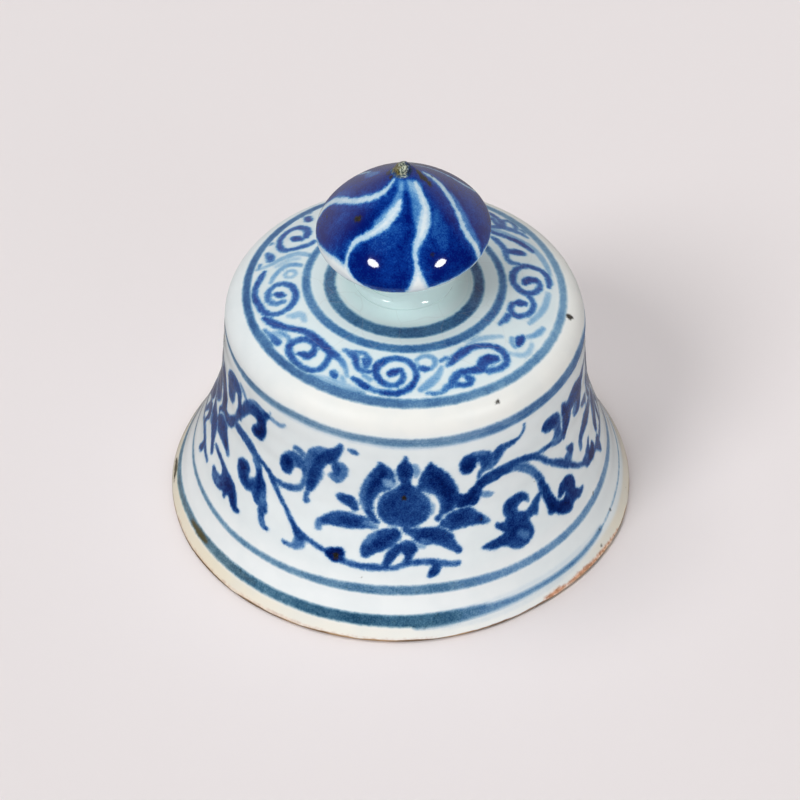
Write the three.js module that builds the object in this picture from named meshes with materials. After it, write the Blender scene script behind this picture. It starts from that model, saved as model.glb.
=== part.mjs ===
// A porcelain meiping cover: a bell-shaped lid with a flared skirt, a bud knob and an inner sleeve.
// Millimetres, +Z up. The origin is the centre of the bare rim that the cover stands on.
// Six pieces of clay, luted with slip and fired together: the thrown bell, the hollow bud, the pellet
// that closes the bud's point, the sleeve that steadies the lid in a vase's mouth, and a slip joint
// under the knob and over the sleeve.
import * as THREE from "three";

// Bell: one thrown shell, with a flat table, a falling crown, a rolled shoulder, a drum and a skirt.
const RIM_RADIUS = 60; // outer edge of the skirt
const RIM_LAND = 3.4; // width of the bare flat ring that the cover stands on
const RIM_ROUND = 0.9; // the wiped outer corner of that ring
const SHOULDER_RADIUS = 44.9; // widest point of the drum, under the roll
const SHOULDER_HEIGHT = 54.6; // where the drum meets the roll
const ROLL_IN = 6.6; // how far the roll runs inwards
const ROLL_UP = 7.4; // how far the roll rises
const CROWN_HEIGHT = 66; // top of the table
const TABLE_RADIUS = 25.5; // where the crown starts to fall towards the shoulder
const WALL = 4.2; // clay thickness of drum and skirt
const CROWN_THICKNESS = 5.2;
const DRUM_STRETCH = 22; // length of the near-upright stretch below the shoulder
const DRUM_LEAN = 0.8; // how far that stretch leans out
const SKIRT_STRETCH = 18; // length of the straight run of the flare above the rim
const SKIRT_ANGLE = 31; // degrees from upright at the rim

// Vent: a hole through the crown into the hollow knob, so that steam leaves it in the kiln.
const VENT_RADIUS = 1.2;

// Knob: a hollow bud on a waisted foot. Its heights are above the underside of the foot.
const FOOT_RADIUS = 12.6;
const FOOT_LAND = 1.5; // upright edge of the foot, which the slip bead covers
const WAIST_RADIUS = 10.4;
const WAIST_HEIGHT = 6.4;
const BUD_RADIUS = 21.2;
const BUD_HEIGHT = 16.8; // of the widest point
const BUD_FULLNESS = 4; // length of the upright stretch on each side of the widest point
const POINT_HEIGHT = 34.8; // where the cone of the bud is cut flat for the pellet
const POINT_RADIUS = 2.8;
const POINT_STRETCH = 8.5; // length of the straight run of the cone below the point
const POINT_ANGLE = 52; // degrees from upright of that run
const KNOB_WALL = 4.4;

// Pellet: the nub of clay on the bud's point.
const PELLET_RADIUS = 2.4;
const PELLET_HEIGHT = 2.6;

// Sleeve: a short thrown tube that hangs under the crown.
const SLEEVE_RADIUS = 18; // outside
const SLEEVE_WALL = 3.8;
const SLEEVE_LENGTH = 31;
const SLEEVE_ROUND = 0.8; // the wiped corners of its lower end

// Slip: the soft clay in each joint, drawn out as a hollow bead.
const SLIP_BED = 0.7; // thickness between the two pieces
const KNOB_BEAD = 3.9; // reach of the bead round the foot, over the crown
const SLEEVE_BEAD = 2.4; // reach of the beads beside the sleeve

// How finely the round forms are cut.
const BELL_SIDES = 72;
const KNOB_SIDES = 48;
const SLEEVE_SIDES = 48;
const PELLET_SIDES = 20;

const CLAY = { color: 0xe8e2d4, roughness: 0.85, metalness: 0 };
const GLAZE = { color: 0xe3ebe9, roughness: 0.12, metalness: 0 };
const COBALT = { color: 0x1f3f92, roughness: 0.1, metalness: 0 };
const IRON_BROWN = { color: 0x4f5a45, roughness: 0.3, metalness: 0 };

const at = (r, z) => new THREE.Vector2(r, z);
const radians = THREE.MathUtils.degToRad;

// A solid of revolution about +Z. Its profile of (radius, height) points runs anticlockwise.
function revolved(name, profile, sides, finish) {
  const geometry = new THREE.LatheGeometry(profile, sides).rotateX(Math.PI / 2);
  const mesh = new THREE.Mesh(geometry, new THREE.MeshStandardMaterial(finish));
  mesh.name = name;
  return mesh;
}

// Points of part of an ellipse, from one angle to another in degrees.
function arc(centre, alongR, alongZ, from, to, steps) {
  const backwards = to < from;
  return new THREE.EllipseCurve(
    centre.x, centre.y, alongR, alongZ, radians(from), radians(to), backwards,
  ).getPoints(steps);
}

function bezier(start, control1, control2, end, steps) {
  return new THREE.CubicBezierCurve(start, control1, control2, end).getPoints(steps);
}

// A line moved to its left, square to itself, as the other face of a wall of even thickness.
function offset(line, distance) {
  return line.map((point, i) => {
    const before = line[Math.max(i - 1, 0)];
    const after = line[Math.min(i + 1, line.length - 1)];
    const along = after.clone().sub(before).normalize();
    return at(point.x - along.y * distance, point.y + along.x * distance);
  });
}

const UNDER_CROWN = CROWN_HEIGHT - CROWN_THICKNESS;
const ROLL_CENTRE = at(SHOULDER_RADIUS - ROLL_IN, SHOULDER_HEIGHT);

// The outer line of skirt and drum, from the rim up to the shoulder.
function skirtAndDrum(steps) {
  const lean = radians(SKIRT_ANGLE);
  return bezier(
    at(RIM_RADIUS, RIM_ROUND),
    at(RIM_RADIUS - SKIRT_STRETCH * Math.sin(lean), RIM_ROUND + SKIRT_STRETCH * Math.cos(lean)),
    at(SHOULDER_RADIUS + DRUM_LEAN, SHOULDER_HEIGHT - DRUM_STRETCH),
    at(SHOULDER_RADIUS, SHOULDER_HEIGHT),
    steps,
  );
}

function bell() {
  const outside = skirtAndDrum(15);
  const lining = offset(outside, WALL).reverse();
  const innerRoll = arc(ROLL_CENTRE, ROLL_IN - WALL, ROLL_UP - CROWN_THICKNESS, 90, 15, 4);
  const landInside = RIM_RADIUS - RIM_LAND;
  const profile = [
    at(VENT_RADIUS, UNDER_CROWN),
    at(TABLE_RADIUS, UNDER_CROWN),
    ...innerRoll,
    ...lining.filter((point) => point.y > RIM_LAND && point.x < landInside),
    at(landInside, 0),
    at(RIM_RADIUS - RIM_ROUND, 0),
    ...outside,
    ...arc(ROLL_CENTRE, ROLL_IN, ROLL_UP, 12, 78, 7),
    at(TABLE_RADIUS, CROWN_HEIGHT),
    at(VENT_RADIUS, CROWN_HEIGHT),
    at(VENT_RADIUS, UNDER_CROWN),
  ];
  return revolved("bell_shell", profile, BELL_SIDES, GLAZE);
}

const FOOT_UNDERSIDE = CROWN_HEIGHT + SLIP_BED;
const FOOT_BORE = FOOT_RADIUS - KNOB_WALL - (FOOT_RADIUS - WAIST_RADIUS);

// The outer line of the knob, from the top of the foot's edge up to the point.
function budLine(steps) {
  const lean = radians(POINT_ANGLE);
  const footEdge = at(FOOT_RADIUS, FOOT_UNDERSIDE + FOOT_LAND);
  const waist = at(WAIST_RADIUS, FOOT_UNDERSIDE + WAIST_HEIGHT);
  const widest = at(BUD_RADIUS, FOOT_UNDERSIDE + BUD_HEIGHT);
  const point = at(POINT_RADIUS, FOOT_UNDERSIDE + POINT_HEIGHT);
  const cove = bezier(
    footEdge,
    at(WAIST_RADIUS + (FOOT_RADIUS - WAIST_RADIUS) / 4, footEdge.y + (waist.y - footEdge.y) / 4),
    at(WAIST_RADIUS, waist.y - (waist.y - footEdge.y) / 3),
    waist,
    3,
  );
  const underside = bezier(
    waist,
    at(WAIST_RADIUS, waist.y + (BUD_HEIGHT - WAIST_HEIGHT) / 5),
    at(BUD_RADIUS, widest.y - BUD_FULLNESS),
    widest,
    steps,
  );
  const cone = bezier(
    widest,
    at(BUD_RADIUS, widest.y + BUD_FULLNESS),
    at(POINT_RADIUS + POINT_STRETCH * Math.sin(lean), point.y - POINT_STRETCH * Math.cos(lean)),
    point,
    steps,
  );
  return [...cove, ...underside.slice(1), ...cone.slice(1)];
}

function knob() {
  const outside = budLine(9);
  const hollow = offset(outside, KNOB_WALL)
    .reverse()
    .filter((point) => point.x > 0 && point.y > FOOT_UNDERSIDE + FOOT_LAND);
  const profile = [
    at(0, hollow[0].y),
    ...hollow,
    at(FOOT_BORE, FOOT_UNDERSIDE),
    at(FOOT_RADIUS, FOOT_UNDERSIDE),
    ...outside,
    at(0, FOOT_UNDERSIDE + POINT_HEIGHT),
  ];
  return revolved("knob_bud", profile, KNOB_SIDES, COBALT);
}

function pellet() {
  const seat = FOOT_UNDERSIDE + POINT_HEIGHT;
  const shape = arc(at(0, seat + PELLET_HEIGHT / 3), PELLET_RADIUS, (PELLET_HEIGHT * 2) / 3, -20, 90, 7);
  const profile = [at(0, seat), at(PELLET_RADIUS * 0.85, seat), ...shape];
  return revolved("knob_point_pellet", profile, PELLET_SIDES, IRON_BROWN);
}

// The bed of slip under the foot, with a hollow bead outside it.
function knobSlip() {
  const top = FOOT_UNDERSIDE + FOOT_LAND;
  const edge = at(FOOT_RADIUS + KNOB_BEAD, top);
  const bead = arc(edge, KNOB_BEAD, top - CROWN_HEIGHT - 0.2, 270, 180, 5);
  const profile = [
    at(FOOT_BORE, CROWN_HEIGHT),
    at(edge.x, CROWN_HEIGHT),
    ...bead,
    at(FOOT_RADIUS, FOOT_UNDERSIDE),
    at(FOOT_BORE, FOOT_UNDERSIDE),
    at(FOOT_BORE, CROWN_HEIGHT),
  ];
  return revolved("knob_slip_joint", profile, KNOB_SIDES, GLAZE);
}

function sleeve() {
  const top = UNDER_CROWN - SLIP_BED;
  const foot = top - SLEEVE_LENGTH;
  const bore = SLEEVE_RADIUS - SLEEVE_WALL;
  const profile = [
    at(bore, top),
    at(bore, foot + SLEEVE_ROUND),
    at(bore + SLEEVE_ROUND, foot),
    at(SLEEVE_RADIUS - SLEEVE_ROUND, foot),
    at(SLEEVE_RADIUS, foot + SLEEVE_ROUND),
    at(SLEEVE_RADIUS, top),
    at(bore, top),
  ];
  return revolved("inner_sleeve", profile, SLEEVE_SIDES, CLAY);
}

// The bed of slip over the sleeve, with a hollow bead on each side of the tube.
function sleeveSlip() {
  const bore = SLEEVE_RADIUS - SLEEVE_WALL;
  const bed = UNDER_CROWN - SLIP_BED;
  const low = bed - SLEEVE_BEAD;
  const insideBead = arc(at(bore - SLEEVE_BEAD, low), SLEEVE_BEAD, SLEEVE_BEAD + SLIP_BED / 2, 90, 0, 4);
  const outsideBead = arc(
    at(SLEEVE_RADIUS + SLEEVE_BEAD, low), SLEEVE_BEAD, SLEEVE_BEAD + SLIP_BED / 2, 180, 90, 4,
  );
  const profile = [
    at(bore - SLEEVE_BEAD, UNDER_CROWN),
    ...insideBead,
    at(bore, bed),
    at(SLEEVE_RADIUS, bed),
    ...outsideBead,
    at(SLEEVE_RADIUS + SLEEVE_BEAD, UNDER_CROWN),
    at(bore - SLEEVE_BEAD, UNDER_CROWN),
  ];
  return revolved("sleeve_slip_joint", profile, SLEEVE_SIDES, CLAY);
}

const cover = new THREE.Group();
cover.add(bell(), knobSlip(), knob(), pellet(), sleeveSlip(), sleeve());

export default cover;
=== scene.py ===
"""A blue-and-white porcelain cover for a meiping vase, standing on a pale floor in soft studio light.

The pieces of clay come from the frame. Each is replaced by a finer mesh of the same form, which carries
the brushwork: strokes given in real sizes on its surface, kept as distances in millimetres from the
strokes' edges, which the glaze's material turns into cobalt under glaze.
"""
import math
from functools import cache

import bpy
import numpy as np
from mathutils import Matrix, Vector


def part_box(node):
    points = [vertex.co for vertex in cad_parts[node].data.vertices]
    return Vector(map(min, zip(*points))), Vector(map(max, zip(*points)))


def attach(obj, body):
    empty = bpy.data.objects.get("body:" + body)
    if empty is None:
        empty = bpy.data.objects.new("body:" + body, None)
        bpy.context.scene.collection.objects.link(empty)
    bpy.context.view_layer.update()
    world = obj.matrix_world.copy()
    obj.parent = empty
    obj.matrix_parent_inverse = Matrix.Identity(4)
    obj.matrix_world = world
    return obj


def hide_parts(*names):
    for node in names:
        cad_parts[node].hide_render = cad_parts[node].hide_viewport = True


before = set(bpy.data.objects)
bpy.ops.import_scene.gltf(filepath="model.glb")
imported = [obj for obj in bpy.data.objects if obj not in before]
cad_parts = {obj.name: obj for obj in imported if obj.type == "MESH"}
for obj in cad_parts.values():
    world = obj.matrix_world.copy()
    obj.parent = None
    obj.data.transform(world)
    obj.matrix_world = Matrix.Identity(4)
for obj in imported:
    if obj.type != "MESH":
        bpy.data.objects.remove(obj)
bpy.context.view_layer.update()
MM = 0.001

# The camera, fitted to the rim, the painted rings and the outline. Lengths in mm.
PHOTO_SIDE = 800  # pixels
CAMERA_FOCUS = 2800  # pixels
CAMERA_DISTANCE = 703
CAMERA_ELEVATION = 43.0
CAMERA_ROLL = 1.41
CAMERA_TARGET = (0, 0, 45)
PHOTO_OFFSET = (1.7, -56.3)  # pixels, right and down, of the target from the middle of the frame

# Sizes of the bell, in mm: its box comes from the frame, and the rest repeats the source.
bell_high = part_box("bell_shell")[1]
RIM_RADIUS = bell_high.x / MM
CROWN_HEIGHT = bell_high.z / MM
RIM_LAND = 3.4
RIM_ROUND = 0.9
SHOULDER_RADIUS = 44.9
SHOULDER_HEIGHT = 54.6
ROLL_IN = 6.6
ROLL_UP = 7.4
TABLE_RADIUS = 25.5
WALL = 4.2
CROWN_THICKNESS = 5.2
DRUM_STRETCH = 22
DRUM_LEAN = 0.8
SKIRT_STRETCH = 18
SKIRT_ANGLE = 31
VENT_RADIUS = 1.2
WALL_STEPS = 300
FALL_START, FALL_BEND, FALL_END = 3, 5, 3  # how the crown's fall to the table is eased

# Sizes of the knob, in mm.
knob_low, knob_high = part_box("knob_bud")
FOOT_UNDERSIDE = knob_low.z / MM
FOOT_RADIUS = 12.6
FOOT_LAND = 1.5
WAIST_RADIUS = 10.4
WAIST_HEIGHT = 6.4
BUD_RADIUS = knob_high.x / MM
BUD_HEIGHT = 16.8
BUD_FULLNESS = 4
POINT_HEIGHT = knob_high.z / MM - FOOT_UNDERSIDE
POINT_RADIUS = 2.8
POINT_STRETCH = 8.5
POINT_ANGLE = 52
COVE_STEPS = 40
KNOB_LEAN = 3.3  # degrees to the left, because it was luted on a little askew
KNOB_NOD = 1.2  # degrees forward
KNOB_SHIFT = 0.7  # mm to the right
POINT_SHIFT = 0.8  # mm more to the right at the point

# Sizes of the sleeve, in mm.
SLEEVE_WALL = 3.8
SLEEVE_RIDGE = 0.12
SLEEVE_EDGE = 0.8  # how much its lower edge is softened

FAR = -6.0  # mm: what is further than this from a stroke counts as far away
REACH = 2.0  # mm: how far outside its edge a stroke is measured
LAYERS = ("dark", "wash", "rust", "umber")


def smooth_step(low, high, value):
    t = np.clip((value - low) / (high - low), 0, 1)
    return t * t * (3 - 2 * t)


def bezier(start, control1, control2, end, steps):
    t = np.linspace(0, 1, steps + 1)[:, None]
    points = [np.array(p, float) for p in (start, control1, control2, end)]
    return (
        (1 - t) ** 3 * points[0]
        + 3 * (1 - t) ** 2 * t * points[1]
        + 3 * (1 - t) * t**2 * points[2]
        + t**3 * points[3]
    )


def arc(centre, along_r, along_z, start, end, steps):
    a = np.radians(np.linspace(start, end, steps + 1))
    return np.stack([centre[0] + along_r * np.cos(a), centre[1] + along_z * np.sin(a)], 1)


def offset(line, distance):
    """The line moved to its left, square to itself."""
    along = np.gradient(line, axis=0)
    along /= np.linalg.norm(along, axis=1, keepdims=True)
    return line + distance * np.stack([-along[:, 1], along[:, 0]], 1)


def lengths(line):
    """How far along the line each of its points is."""
    return np.concatenate([[0], np.cumsum(np.hypot(*np.diff(line, axis=0).T))])


def respaced(line, spacing):
    """Points along the line at about this spacing."""
    along = lengths(line)
    at = np.linspace(0, along[-1], max(2, round(along[-1] / spacing) + 1))
    return np.stack([np.interp(at, along, line[:, 0]), np.interp(at, along, line[:, 1])], 1)


# The outer lines, as (radius, height) in mm.
def wall_line():
    lean = math.radians(SKIRT_ANGLE)
    return bezier(
        (RIM_RADIUS, RIM_ROUND),
        (RIM_RADIUS - SKIRT_STRETCH * math.sin(lean), RIM_ROUND + SKIRT_STRETCH * math.cos(lean)),
        (SHOULDER_RADIUS + DRUM_LEAN, SHOULDER_HEIGHT - DRUM_STRETCH),
        (SHOULDER_RADIUS, SHOULDER_HEIGHT),
        WALL_STEPS,
    )


ROLL_CENTRE = (SHOULDER_RADIUS - ROLL_IN, SHOULDER_HEIGHT)
WALL_LINE = wall_line()
ROLL_LINE = arc(ROLL_CENTRE, ROLL_IN, ROLL_UP, 0, 74, 60)


def crown_fall():
    """From the top of the roll to the table: a straight fall, eased at both ends."""
    top = ROLL_LINE[-1]
    along = top - ROLL_LINE[-2]
    return bezier(
        top,
        top + along / np.linalg.norm(along) * FALL_START,
        (TABLE_RADIUS + FALL_BEND, CROWN_HEIGHT),
        (TABLE_RADIUS - FALL_END, CROWN_HEIGHT),
        80,
    )


OUTSIDE = np.vstack([WALL_LINE, ROLL_LINE[1:], crown_fall()[1:], [[VENT_RADIUS, CROWN_HEIGHT]]])
OUTSIDE_LENGTHS = lengths(OUTSIDE)


def bud_line():
    """From the foot's edge to the point: a cove, the underside and the cone."""
    lean = math.radians(POINT_ANGLE)
    edge = np.array([FOOT_RADIUS, FOOT_UNDERSIDE + FOOT_LAND])
    waist = np.array([WAIST_RADIUS, FOOT_UNDERSIDE + WAIST_HEIGHT])
    widest = np.array([BUD_RADIUS, FOOT_UNDERSIDE + BUD_HEIGHT])
    point = np.array([POINT_RADIUS, FOOT_UNDERSIDE + POINT_HEIGHT])
    cove = bezier(
        edge,
        (WAIST_RADIUS + (FOOT_RADIUS - WAIST_RADIUS) / 4, edge[1] + (waist[1] - edge[1]) / 4),
        (WAIST_RADIUS, waist[1] - (waist[1] - edge[1]) / 3),
        waist,
        COVE_STEPS,
    )
    underside = bezier(
        waist,
        (WAIST_RADIUS, waist[1] + (BUD_HEIGHT - WAIST_HEIGHT) / 5),
        (BUD_RADIUS, widest[1] - BUD_FULLNESS),
        widest,
        80,
    )
    cone = bezier(
        widest,
        (BUD_RADIUS, widest[1] + BUD_FULLNESS),
        (POINT_RADIUS + POINT_STRETCH * math.sin(lean), point[1] - POINT_STRETCH * math.cos(lean)),
        point,
        120,
    )
    return np.vstack([cove, underside[1:], cone[1:]])


BUD_LINE = bud_line()
BUD_LENGTHS = lengths(BUD_LINE)


# Places on the surfaces, in mm.
def around(azimuth, radius, height):
    """A point at an azimuth in degrees, from the front (-Y) towards the right (+X)."""
    a = np.radians(azimuth)
    return np.stack([radius * np.sin(a), -radius * np.cos(a), height + 0 * a], -1)


def on_wall(azimuth, rise):
    """rise is the length up the wall from the rim."""
    radius = np.interp(rise, OUTSIDE_LENGTHS, OUTSIDE[:, 0])
    height = np.interp(rise, OUTSIDE_LENGTHS, OUTSIDE[:, 1])
    return around(azimuth, radius, height)


def on_crown(x, y):
    top = OUTSIDE[WALL_STEPS:]
    order = np.argsort(top[:, 0])
    return np.stack([x, y, np.interp(np.hypot(x, y), top[order, 0], top[order, 1])], -1)


def on_bud(x, y):
    """x and y are plan directions, and their length is measured down the bud from its axis."""
    down = np.hypot(x, y)
    along = BUD_LENGTHS[-1] + POINT_RADIUS - down
    radius = np.interp(along, BUD_LENGTHS, BUD_LINE[:, 0])
    height = np.interp(along, BUD_LENGTHS, BUD_LINE[:, 1])
    return around(np.degrees(np.arctan2(x, -y)), radius, height)


def read_off(table, at):
    """The value at each place, from a table of (place, value)."""
    places, values = np.array(table, float).T
    return np.interp(at, places, values)


def curve_through(points, spacing=0.6, closed=False):
    """A Catmull-Rom curve through points of any dimension."""
    p = np.array(points, float)
    if len(p) == 1:
        return np.vstack([p, p + 1e-3])
    if len(p) == 2 and not closed:
        p = np.vstack([p[0], (p[0] + p[1]) / 2, p[1]])
    if closed:
        p = np.vstack([p[-1], p, p[0], p[1]])
    else:
        p = np.vstack([2 * p[0] - p[1], p, 2 * p[-1] - p[-2]])
    pieces = []
    for i in range(1, len(p) - 2):
        a, b, c, d = p[i - 1 : i + 3]
        steps = max(2, math.ceil(np.linalg.norm((c - b)[:2]) / spacing))
        t = np.linspace(0, 1, steps, endpoint=False)[:, None]
        pieces.append(
            0.5
            * (2 * b + (c - a) * t + (2 * a - 5 * b + 4 * c - d) * t**2 + (3 * b - a - 3 * c + d) * t**3)
        )
    pieces.append(p[-2][None])
    return np.vstack(pieces)


def distance_to(points, line):
    """For each point, its distance to a polyline, and where on it the nearest spot is, in steps of it."""
    start, step = line[:-1], np.diff(line, axis=0)
    size = np.maximum((step**2).sum(1), 1e-12)
    t = np.clip(((points[:, None] - start) * step).sum(2) / size, 0, 1)
    gap = np.linalg.norm(points[:, None] - start - t[..., None] * step, axis=2)
    nearest = gap.argmin(1)
    rows = np.arange(len(points))
    return gap[rows, nearest], nearest + t[rows, nearest]


def is_inside(flat, outline):
    """Which of the points lie inside an outline."""
    x, y = flat[:, 0][:, None], flat[:, 1][:, None]
    x0, y0 = outline[:, 0], outline[:, 1]
    x1, y1 = np.roll(x0, -1), np.roll(y0, -1)
    crosses = (y0 > y) != (y1 > y)
    with np.errstate(divide="ignore", invalid="ignore"):
        where = x0 + (y - y0) * (x1 - x0) / (y1 - y0)
    return (crosses & (x < where)).sum(1) % 2 == 1


class Brushwork:
    """Paint on some of a mesh's vertices. Each layer holds the distance inside its strokes' edges, in mm,
    and how heavily the brush was loaded."""

    def __init__(self, points, flat, place):
        self.points = points  # where the vertices are, in mm
        self.flat = flat  # the same in the strokes' own coordinates
        self.place = place
        n = len(points)
        self.edge = {name: np.full(n, FAR) for name in LAYERS}
        self.load = {name: np.zeros(n) for name in LAYERS}
        self.smoke = np.zeros(n)  # 1 where the cobalt is greyish, as in the ruled lines
        self.iron = np.full(n, FAR)

    def near(self, line, reach):
        low, high = line.min(0) - reach, line.max(0) + reach
        return np.flatnonzero(((self.points > low) & (self.points < high)).all(1))

    def _lay(self, layer, found, inside, load, smoke=0.0):
        self.edge[layer][found] = np.maximum(self.edge[layer][found], inside)
        shown = load * smooth_step(-1.2, 0.25, inside)
        self.load[layer][found] = np.maximum(self.load[layer][found], shown)
        if smoke:
            self.smoke[found] = np.maximum(self.smoke[found], smoke * smooth_step(-1.5, 0, inside))

    def _measured(self, points):
        """The vertices near a stroke, how far inside its edge each is, and where along it, from 0 to 1."""
        curve = curve_through(points)
        line = self.place(curve[:, 0], curve[:, 1])
        found = self.near(line, curve[:, 2].max() / 2 + REACH)
        gap, along = distance_to(self.points[found], line)
        half = np.interp(along, np.arange(len(curve)), curve[:, 2]) / 2
        return found, half - gap, along / max(len(curve) - 1, 1)

    def stroke(self, points, load=1.0, end_load=None, layer="dark", smoke=0.0):
        """A brush stroke through (u, v, width) points."""
        found, inside, along = self._measured(points)
        change = 0 if end_load is None else end_load - load
        if len(found):
            self._lay(layer, found, inside, load + change * along, smoke)

    def band(self, points, loads, smokes):
        """A wash in short strokes, each with its own load and smoke."""
        for i in range(len(points) - 1):
            self.stroke(points[i : i + 2], loads[i], loads[i + 1], "wash", smokes[i])

    def fill(self, outline, load):
        """A filled shape with an outline through (u, v) points."""
        curve = curve_through(outline, closed=True)
        line = self.place(curve[:, 0], curve[:, 1])
        found = self.near(line, REACH)
        if not len(found):
            return
        gap, _ = distance_to(self.points[found], np.vstack([line, line[:1]]))
        sign = np.where(is_inside(self.flat[found], curve), 1, -1)
        self._lay("dark", found, gap * sign, load)

    def gap(self, points, wider=0.0):
        """A stroke left white."""
        found, inside, _ = self._measured(points)
        self.edge["dark"][found] = np.minimum(self.edge["dark"][found], -inside - wider)

    def lift(self, points, amount):
        """A stroke along which the brush left less cobalt."""
        found, inside, _ = self._measured(points)
        for layer in ("dark", "wash"):
            self.load[layer][found] *= 1 - amount * smooth_step(-0.8, 0.6, inside)

    def fleck(self, u, v, radius):
        """A spot of iron burnt through the glaze."""
        middle = self.place(np.array([u]), np.array([v]))
        found = self.near(middle, radius + REACH)
        inside = radius - np.linalg.norm(self.points[found] - middle, axis=1)
        self.iron[found] = np.maximum(self.iron[found], inside)

    def paint(self, fills=(), strokes=(), washes=(), lifts=(), gaps=(), fullness=1.0, place=list):
        """A motif. place() moves the points of each shape to where it goes."""
        for load, outline in fills:
            self.fill(place(outline), load * fullness)
        for load, points in strokes:
            self.stroke(place(points), load * fullness)
        for load, points in washes:
            self.stroke(place(points), load * WASH, layer="wash")
        for amount, points in lifts:
            self.lift(place(points), amount)
        for points in gaps:
            self.gap(place(points))


# The lotus flower on the front of the wall, in degrees and mm up the wall: (load, outline).
FLOWER_FILLS = (
    # The pod.
    (0.75, [(-6, 36.8), (-5.2, 39.2), (-3.6, 41), (-1.2, 42.3), (0.8, 43.4), (3.4, 43.4), (5.6, 42.4),
        (7.2, 41), (8.6, 39.6), (9.7, 37.8), (10, 36), (9.6, 34.2), (8.4, 32.6), (6.6, 31.6), (4.6, 31),
        (3.6, 29.8), (2.4, 29.8), (1, 31), (-1.3, 31.2), (-3.6, 32), (-5.2, 33.4), (-6, 35.2)]),
    # The top petal, and those at its sides.
    (0.95, [(1.9, 52.2), (0.8, 50.4), (-0.3, 48.8), (-0.6, 47), (0, 45.2), (0.6, 43.5), (0.4, 42),
        (3.8, 42), (3.8, 43.6), (4, 45.3), (4.6, 47.2), (4.4, 48.8), (3.1, 50.4)]),
    (0.82, [(-6.2, 49.9), (-4.3, 49.4), (-2.6, 48.2), (-1.5, 47), (-1.1, 45.3), (-0.8, 43.4),
        (-1.8, 42.1), (-3.7, 41.2), (-5.2, 40.4), (-6.3, 39.2), (-7.1, 37.7), (-7.2, 35.7), (-6.8, 34),
        (-5.8, 32.5), (-5, 31.6), (-6.6, 31.2), (-8.1, 32.3), (-9.3, 33.7), (-10.2, 35.3),
        (-11.2, 37.3), (-11.5, 39.3), (-11.2, 41.3), (-10.2, 43.7), (-8.9, 45.8), (-7.4, 47.7),
        (-6.2, 48.8)]),
    (0.88, [(9.6, 49.9), (8.3, 48.7), (7.2, 47), (6.4, 45.3), (6, 43.3), (5.8, 41.9), (7.5, 41.1),
        (9.4, 40.4), (11, 39.6), (12.1, 38.2), (12.6, 36.3), (12.4, 34.3), (11, 32.8), (11.6, 31.9),
        (12.7, 32), (13.3, 33.2), (14.8, 34), (17.1, 35), (18.2, 37), (18.3, 39), (17.9, 41),
        (16.9, 43), (15.6, 45), (14, 46.7), (12.1, 48.1), (10.6, 49.3)]),
    # The small leaf and the long petal at the left.
    (0.85, [(-18.6, 38), (-16.6, 38.4), (-13.9, 38.3), (-12.4, 37), (-11.6, 35.7), (-11.8, 34.6),
        (-13.1, 34.2), (-14.6, 35.2), (-16.9, 35.8), (-18.1, 36.8)]),
    (0.8, [(-24, 26.7), (-23.8, 28.7), (-22.3, 30.4), (-20, 32.1), (-17.3, 33.2), (-14.6, 33.4),
        (-12, 33.2), (-9.7, 33), (-7.4, 31.7), (-5.6, 30.9), (-6, 30), (-8.9, 29.8), (-11.6, 29.3),
        (-14.6, 28.8), (-18.5, 28.7), (-20.8, 28.4), (-21.9, 27.7), (-22.3, 26.4), (-23.4, 26.1)]),
    # The lower petals, and the long one at the right.
    (0.88, [(-0.1, 30.4), (1, 29), (1.2, 27.7), (0.1, 26.7), (-1.6, 25.3), (-3.6, 24), (-5.5, 23.3),
        (-7.2, 22.3), (-8.3, 21.5), (-9.7, 21.8), (-10.1, 23), (-9.9, 24.7), (-9.3, 26.3), (-7.8, 28),
        (-5.9, 29.3), (-3.2, 30.3)]),
    (0.86, [(1.6, 30.2), (4.5, 30.6), (7.2, 30.4), (10.2, 30.4), (12.5, 30.1), (14.4, 29), (15.9, 27.7),
        (16.5, 26), (17.3, 24.7), (18.4, 23.3), (18.4, 22.2), (17.1, 22), (15.6, 23), (14, 24),
        (12.1, 25), (10.2, 25.6), (8.3, 25.4), (6.6, 25.9), (5.2, 27), (4.1, 28.1), (2.6, 29)]),
    (0.84, [(12.4, 31.4), (14.4, 33), (16.3, 34), (18.6, 34.4), (21.3, 34.3), (22.8, 33.3),
        (24.7, 31.7), (26.3, 30.3), (27.6, 29), (27.4, 28.2), (26.3, 28.1), (24.4, 28.5), (21.7, 28.8),
        (18.6, 28.8), (15.9, 28.6), (14, 29.6), (12.4, 30.2)]),
    # The leaf below, with its two arms.
    (0.9, [(1, 26.3), (2.6, 27), (4.5, 26.7), (5.7, 25.3), (5.6, 24), (4.4, 22.6), (3.6, 20.4),
        (2.2, 20.6), (2.2, 22.6), (1.6, 23.6), (0.6, 24.2), (-0.6, 25)]),
    # The bud on the stem.
    (1.2, [(-20.3, 21), (-19.2, 22), (-16.9, 22.8), (-15.2, 22.9), (-14.5, 21.7), (-14.8, 20.2),
        (-16.2, 19), (-17.7, 19), (-19.2, 19.7)]),
)
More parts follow.
